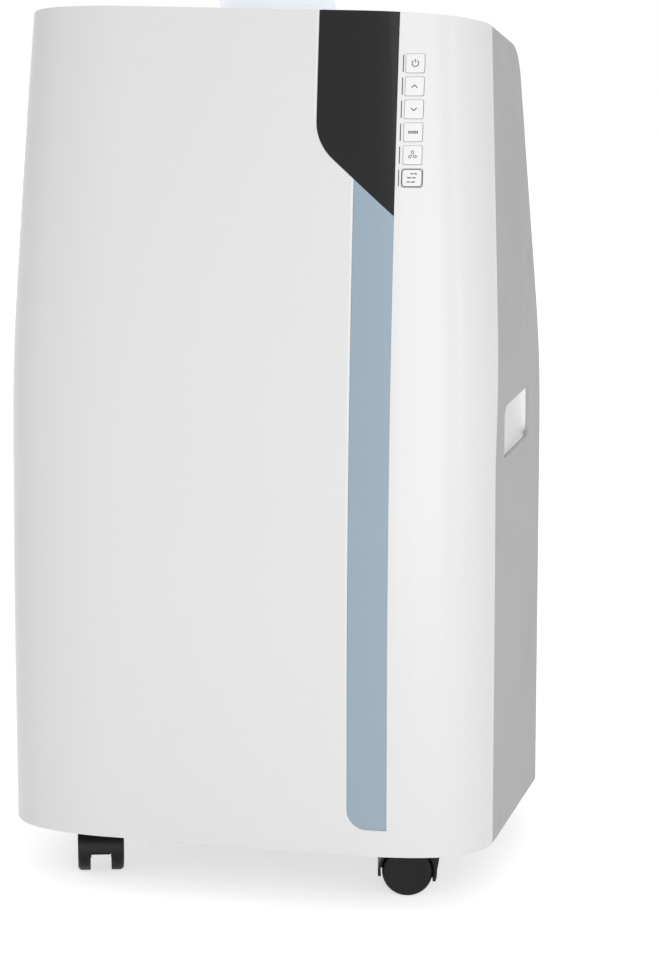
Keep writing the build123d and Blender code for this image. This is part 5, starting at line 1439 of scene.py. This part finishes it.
def finish(name, color, rough, grain=2500.0, depth=0.02, drift=0.03, marks=0.08, dust=0.1,
           metallic=0.0, specular=0.5, coat=0.0, coat_rough=0.1):
    """Finish of one slot; depth is the grain's relief in millimetres."""
    material, _ = bare_material(name)
    tone = placed(material, DRIFT, Color=(*color, 1.0), Amount=drift)
    relief = placed(material, GRAIN, Scale=grain)
    return shaded(material, dusted(material, tone.outputs["Color"], dust), rough, marks,
                  relief.outputs["Height"], depth,
                  {"Metallic": metallic, "Specular IOR Level": specular, "Coat Weight": coat,
                   "Coat Roughness": coat_rough})


# %% Plain finishes of the pieces
materials = {
    "shell_white": finish("shell_white", (0.80, 0.80, 0.80), 0.42, grain=1500, depth=0.006,
                          drift=0.02, marks=0.05, dust=0.03, specular=0.4, coat=0.45,
                          coat_rough=0.20),
    "side_grey": finish("side_grey", (0.44, 0.44, 0.445), 0.50, grain=2600, depth=0.02,
                        drift=0.03, marks=0.06, dust=0.04, specular=0.4),
    "grip_white": finish("grip_white", (0.90, 0.90, 0.90), 0.42, grain=2200, depth=0.012,
                         drift=0.02, marks=0.08, dust=0.02),
    "key_silver": finish("key_silver", (0.83, 0.83, 0.835), 0.36, grain=2600, depth=0.006,
                         drift=0.02, marks=0.10, dust=0.02, coat=0.3, coat_rough=0.18),
    "duct_grey": finish("duct_grey", (0.17, 0.175, 0.18), 0.52, drift=0.05, dust=0.2),
    "rear_grey": finish("rear_grey", (0.33, 0.335, 0.34), 0.55, grain=2000, depth=0.03,
                        drift=0.04, marks=0.06, dust=0.1),
    "grille_grey": finish("grille_grey", (0.12, 0.123, 0.127), 0.52, grain=2200, depth=0.025,
                          drift=0.05, dust=0.25),
    "base_grey": finish("base_grey", (0.095, 0.098, 0.10), 0.55, grain=1800, depth=0.03,
                        drift=0.06, dust=0.25),
    "caster_black": finish("caster_black", (0.010, 0.010, 0.0105), 0.42, grain=2400, depth=0.02,
                           drift=0.10, marks=0.12, dust=0.02, specular=0.22),
    "wheel_black": finish("wheel_black", (0.011, 0.011, 0.0115), 0.48, grain=1800, depth=0.03,
                          drift=0.12, marks=0.14, dust=0.02, specular=0.22),
    "fan_plastic": finish("fan_plastic", (0.035, 0.038, 0.042), 0.5, drift=0.06, dust=0.3),
    "can_white": finish("can_white", (0.60, 0.60, 0.58), 0.45, drift=0.04, dust=0.2),
    "lamp_white": finish("lamp_white", (0.68, 0.68, 0.72), 0.3, drift=0.02, coat=0.6),
    "seal_rubber": finish("seal_rubber", (0.014, 0.014, 0.014), 0.75, grain=3000, depth=0.04,
                          drift=0.12, marks=0.10, dust=0.3, specular=0.3),
    "motor_steel": finish("motor_steel", (0.075, 0.08, 0.085), 0.42, grain=900, depth=0.03,
                          drift=0.06, dust=0.25, coat=0.3, coat_rough=0.3),
    "compressor_black": finish("compressor_black", (0.012, 0.012, 0.012), 0.35, grain=500,
                               depth=0.05, drift=0.15, dust=0.25, coat=0.5, coat_rough=0.2),
    "box_steel": finish("box_steel", (0.60, 0.61, 0.62), 0.38, grain=300, depth=0.02,
                        drift=0.12, dust=0.15, metallic=0.9),
}
print("plain finishes", len(materials))

# %% [markdown]
# ## Display glass, accent strip and flap
#
# The display is a polished near-black moulding: its own colour is almost nothing, and what the
# eye reads is the faint mirror of the room. The strip is a pale blue lacquer with a fine brushed
# sparkle below a satin skin. The flap is a cloudy, slightly translucent moulding that lets a little
# light into it, and a painted glow, a constant emission, makes the whole flap brighter.

# %% Three finishes of the front
def strip_finish():
    """Blue lacquer whose tone is combed upright by a stretched noise."""
    material, tree = bare_material("strip_blue")
    comb = noise(tree, stretched(tree, object_place(tree), (1.0, 1.0, 0.06)), 1800.0, 3.0, 0.6)
    lacquer = color_ramp(tree, comb, 0.3, 0.7, (0.320, 0.412, 0.498), (0.338, 0.432, 0.518))
    return shaded(material, toned(material, lacquer, 0.03), 0.40, 0.06, comb, 0.004,
                  {"Specular IOR Level": 0.35, "Coat Weight": 0.15, "Coat Roughness": 0.2})


def flap_with_painted_glow():
    """Cloudy ice-blue plastic with a painted glow: a constant emission stands in for light through it."""
    material, _ = bare_material("flap_ice")
    tone = placed(material, DRIFT, Color=(0.90, 0.93, 0.97, 1.0), Amount=0.03)
    relief = placed(material, GRAIN, Scale=1200.0)
    # painted glow: Emission Color and Emission Strength brighten the flap, which is no lamp
    return shaded(material, tone.outputs["Color"], 0.30, 0.08, relief.outputs["Height"], 0.004,
                  {"Emission Color": (0.86, 0.91, 1.0, 1.0), "Emission Strength": 0.52,
                   "Subsurface Weight": 0.5, "Subsurface Radius": (1.0, 1.0, 1.0),
                   "Subsurface Scale": 4 * MM, "Coat Weight": 0.3, "Coat Roughness": 0.15})


materials["display_black"] = finish("display_black", (0.0145, 0.0145, 0.0152), 0.34, grain=1200,
                                    depth=0.001, drift=0.10, marks=0.04, dust=0.01,
                                    specular=0.15, coat=0.12, coat_rough=0.06)
materials["strip_blue"] = strip_finish()
materials["flap_ice"] = flap_with_painted_glow()
materials["sign_ink"] = finish("sign_ink", (0.075, 0.075, 0.08), 0.55, grain=3000, depth=0.004,
                               drift=0.15, marks=0.05, dust=0.0, specular=0.3)
print("front finishes", 4)

# %% [markdown]
# ## Metals, fins, screen and board
#
# Bare metal gets its look from the tool that made it. Turned and plated pieces carry fine lines
# across their gloss; drawn copper is smooth, with darker patches where heat has touched it. The
# coils are blocks that stand for hundreds of thin fins, so their fins are drawn as a sharp wave
# across the width, one every 1.6 mm, with painted shade in the gaps between them. The filter
# screen is a plain weave of round threads, with painted shade in its holes.

# %% Plated steel and copper
HEAT = (0.32, 0.14, 0.09, 1.0)


def metal(name, color, rough, line_scale, heated=False):
    """Metal with fine lines along one way and, for copper, darker patches of heat."""
    material, tree = bare_material(name)
    lines = noise(tree, stretched(tree, object_place(tree), (1.0, 1.0, 0.08)), line_scale, 2.0)
    source = placed(material, DRIFT, Color=(*color, 1.0), Amount=0.12).outputs["Color"]
    if heated:
        patch = remap(tree, noise(tree, object_place(tree), 30.0, 4.0, 0.6), 0.45, 0.7, 0.0, 0.7)
        source = mixed(tree, patch, source, HEAT)
    return shaded(material, dusted(material, source, 0.08), rough, 0.12, lines, 0.01,
                  {"Metallic": 1.0})


materials["socket_steel"] = metal("socket_steel", (0.56, 0.56, 0.57), 0.34, 1500.0)
materials["screw_steel"] = metal("screw_steel", (0.58, 0.58, 0.59), 0.30, 2500.0)
materials["pipe_copper"] = metal("pipe_copper", (0.80, 0.43, 0.28), 0.26, 900.0, heated=True)

# %% Fins of the coils
FIN_PITCH = 1.6 * MM


def wave(group, coordinates, axis, pitch):
    """Sine bands across one axis, one per pitch."""
    node = group.nodes.new("ShaderNodeTexWave")
    node.wave_type = "BANDS"
    node.bands_direction = axis
    node.wave_profile = "SIN"
    node.inputs["Scale"].default_value = math.pi / 10 / pitch
    group.links.new(coordinates, node.inputs["Vector"])
    return node.outputs["Fac"]


def fins_with_painted_gap_shade():
    """Painted shade in the gaps between the fins, and the pale metal of their edges: a ramp over the sine bands,
    which are its relief too.
    """
    material, tree = bare_material("coil_fins")
    band = remap(tree, wave(tree, object_place(tree), "X", FIN_PITCH), 0.25, 0.75, 0.0, 1.0)
    # painted shade: the dark stop stands for the shade between the fins, the pale stop is their metal
    fins = color_ramp(tree, band, 0.0, 1.0, (0.08, 0.08, 0.085), (0.66, 0.67, 0.68))
    return shaded(material, toned(material, fins, 0.12), 0.38, 0.10, band, 0.4,
                  {"Metallic": 0.85})


materials["coil_fins"] = fins_with_painted_gap_shade()
print("fins one every", FIN_PITCH / MM, "mm")

# %% Weave of the filter screen
MESH_PITCH = 1.4 * MM


def weave_group():
    """Height of a plain weave: upright threads over level ones, changing at every crossing."""
    group, start, end = shader_group("plain_weave", [("Pitch", "Float", MESH_PITCH)],
                                     [("Height", "Float", None), ("Hole", "Float", None)])
    split = group.nodes.new("ShaderNodeSeparateXYZ")
    group.links.new(object_place(group), split.inputs[0])
    turns = math_node(group, "DIVIDE", math.pi, start.outputs["Pitch"])
    across = math_node(group, "MULTIPLY", split.outputs["X"], turns)
    upright = math_node(group, "MULTIPLY", split.outputs["Z"], turns)
    thread_a = math_node(group, "ABSOLUTE", math_node(group, "SINE", across))
    thread_b = math_node(group, "ABSOLUTE", math_node(group, "SINE", upright))
    over = math_node(group, "MULTIPLY", math_node(group, "COSINE", across),
                     math_node(group, "COSINE", upright))
    hole = math_node(group, "MAXIMUM", thread_a, thread_b)
    lift = math_node(group, "MULTIPLY_ADD", over, 0.25, hole)
    group.links.new(lift, end.inputs["Height"])
    group.links.new(hole, end.inputs["Hole"])
    return group


def screen_with_painted_hole_shade():
    """Dark threads, with painted shade in the holes between them: a ramp over the distance from the threads."""
    material, tree = bare_material("filter_mesh")
    threads = placed(material, weave_group(), Pitch=MESH_PITCH)
    # painted shade: the darker stop fills the holes, where the shaded inside would be seen
    screen = color_ramp(tree, threads.outputs["Hole"], 0.55, 0.85, (0.006, 0.006, 0.007),
                        (0.045, 0.048, 0.052))
    return shaded(material, dusted(material, screen, 0.3), 0.55, 0.08,
                  threads.outputs["Height"], 0.3, {})


materials["filter_mesh"] = screen_with_painted_hole_shade()
print("threads one every", MESH_PITCH / MM, "mm")


# %% Circuit board
def board_finish():
    """Solder mask with pale copper tracks, from the cells of a square noise."""
    material, tree = bare_material("board_green")
    cells = tree.nodes.new("ShaderNodeTexVoronoi")
    cells.distance = "CHEBYCHEV"
    cells.inputs["Scale"].default_value = 320.0
    tree.links.new(object_place(tree), cells.inputs["Vector"])
    tracks = color_ramp(tree, cells.outputs["Distance"], 0.30, 0.34, (0.010, 0.075, 0.030),
                        (0.022, 0.125, 0.055))
    return shaded(material, toned(material, tracks, 0.08), 0.32, 0.08, cells.outputs["Distance"],
                  0.05, {})


materials["board_green"] = board_finish()
print("finishes", len(materials))

# %% [markdown]
# ## Dressing every piece
#
# A material could sit on a mesh or on an object. It sits on the object here, so that meshes stay as
# they came. The kept solids take the finish that the frame names for them, and every new piece
# takes the finish that was noted when it was fitted. The signs are printed in one dark ink, and the
# dark lines beside the keys take the same material.

# %% Every piece takes its finish
def dress(piece, material):
    """Puts one material on a piece, on its object and not on its mesh."""
    if not piece.material_slots:
        piece.data.materials.append(None)
    for slot in piece.material_slots:
        slot.link = "OBJECT"
        slot.material = material


for name, node in nodes.items():
    dress(node, materials[slot_of_node[name]])
for name, finish_name in finish_of.items():
    ink = name.startswith("sign_") or name == "key_lines"
    dress(bpy.data.objects[name], materials["sign_ink" if ink else finish_name])
print("dressed", len(nodes) + len(finish_of))

# %% [markdown]
# ## Floor, room and light
#
# The floor is a plain pale sheet that keeps a soft shadow. To the camera it gives off just enough
# light of its own to reach white, so that the background stays clean while the lamps stay at a
# plain level. The room is an even light from all sides. A large soft lamp stands in front, a
# little to the right, and a tall narrow one at the far right lights the rounded corner.

# %% Floor
FLOOR_HALF = 6.0
FLOOR_GLOW = 0.22
CAMERA_GLOW = 0.42


def seen_plainly(tree):
    """1 for a ray from the camera, from a mirror or through glass, and 0 for one that lights."""
    rays = tree.nodes.new("ShaderNodeLightPath")
    return math_node(tree, "MAXIMUM", rays.outputs["Is Camera Ray"],
                     math_node(tree, "MAXIMUM", rays.outputs["Is Glossy Ray"],
                               rays.outputs["Is Transmission Ray"]))


def pale_floor():
    """Pale floor whose glow is the floor's own plus the camera's share for rays seen plainly."""
    material, tree = bare_material("pale_floor")
    shader = tree.nodes["Principled BSDF"]
    tone = placed(material, DRIFT, Color=(0.86, 0.86, 0.86, 1.0), Amount=0.01)
    glow = math_node(tree, "MULTIPLY_ADD", seen_plainly(tree), CAMERA_GLOW, FLOOR_GLOW)
    tree.links.new(tone.outputs["Color"], shader.inputs["Base Color"])
    tree.links.new(glow, shader.inputs["Emission Strength"])
    for name, value in (("Roughness", 0.9), ("Specular IOR Level", 0.1),
                        ("Emission Color", (1.0, 1.0, 1.0, 1.0))):
        shader.inputs[name].default_value = value
    return material


corners = np.array([[-1, -1, 0], [1, -1, 0], [1, 1, 0], [-1, 1, 0]], float) * FLOOR_HALF
floor = mesh_object("floor", corners, [[0, 1, 2, 3]])
dress(floor, pale_floor())
print("floor half size", FLOOR_HALF, "m")

# %% Room
ROOM_LIGHT = 0.56


def even_room():
    """White to the camera and to mirrors, a plain grey light to everything else."""
    world = bpy.data.worlds.new("room")
    world.use_nodes = True
    tree = world.node_tree
    background = tree.nodes["Background"]
    strength = math_node(tree, "MULTIPLY_ADD", seen_plainly(tree), 1.0 - ROOM_LIGHT, ROOM_LIGHT)
    background.inputs["Color"].default_value = (1.0, 1.0, 1.0, 1.0)
    tree.links.new(strength, background.inputs["Strength"])
    return world


bpy.context.scene.world = even_room()
print("room light", ROOM_LIGHT)

# %% Two lamps
def lamp(name, azimuth, distance, height, wide, tall, radiance):
    """Rectangle of light at an angle from the front that faces the middle of the unit.

    The power of an area lamp is its radiance times pi times its area.
    """
    data = bpy.data.lights.new(name, "AREA")
    data.shape = "RECTANGLE"
    data.size, data.size_y = wide, tall
    data.energy = radiance * math.pi * wide * tall
    piece = bpy.data.objects.new(name, data)
    turn = math.radians(azimuth)
    place = Vector((distance * math.sin(turn), -distance * math.cos(turn), height))
    piece.location = place
    aim = Vector((0.0, 0.0, TOP_Z / 2)) - place
    piece.rotation_euler = aim.to_track_quat("-Z", "Y").to_euler()
    bpy.context.scene.collection.objects.link(piece)
    return piece


lamp("front_lamp", azimuth=22.0, distance=1.8, height=0.70, wide=0.9, tall=1.6, radiance=2.1)
lamp("edge_lamp", azimuth=60.0, distance=3.0, height=0.8, wide=0.12, tall=2.4, radiance=6.0)
bpy.context.scene.view_settings.view_transform = "Standard"
print("lamps", len(bpy.data.lights))
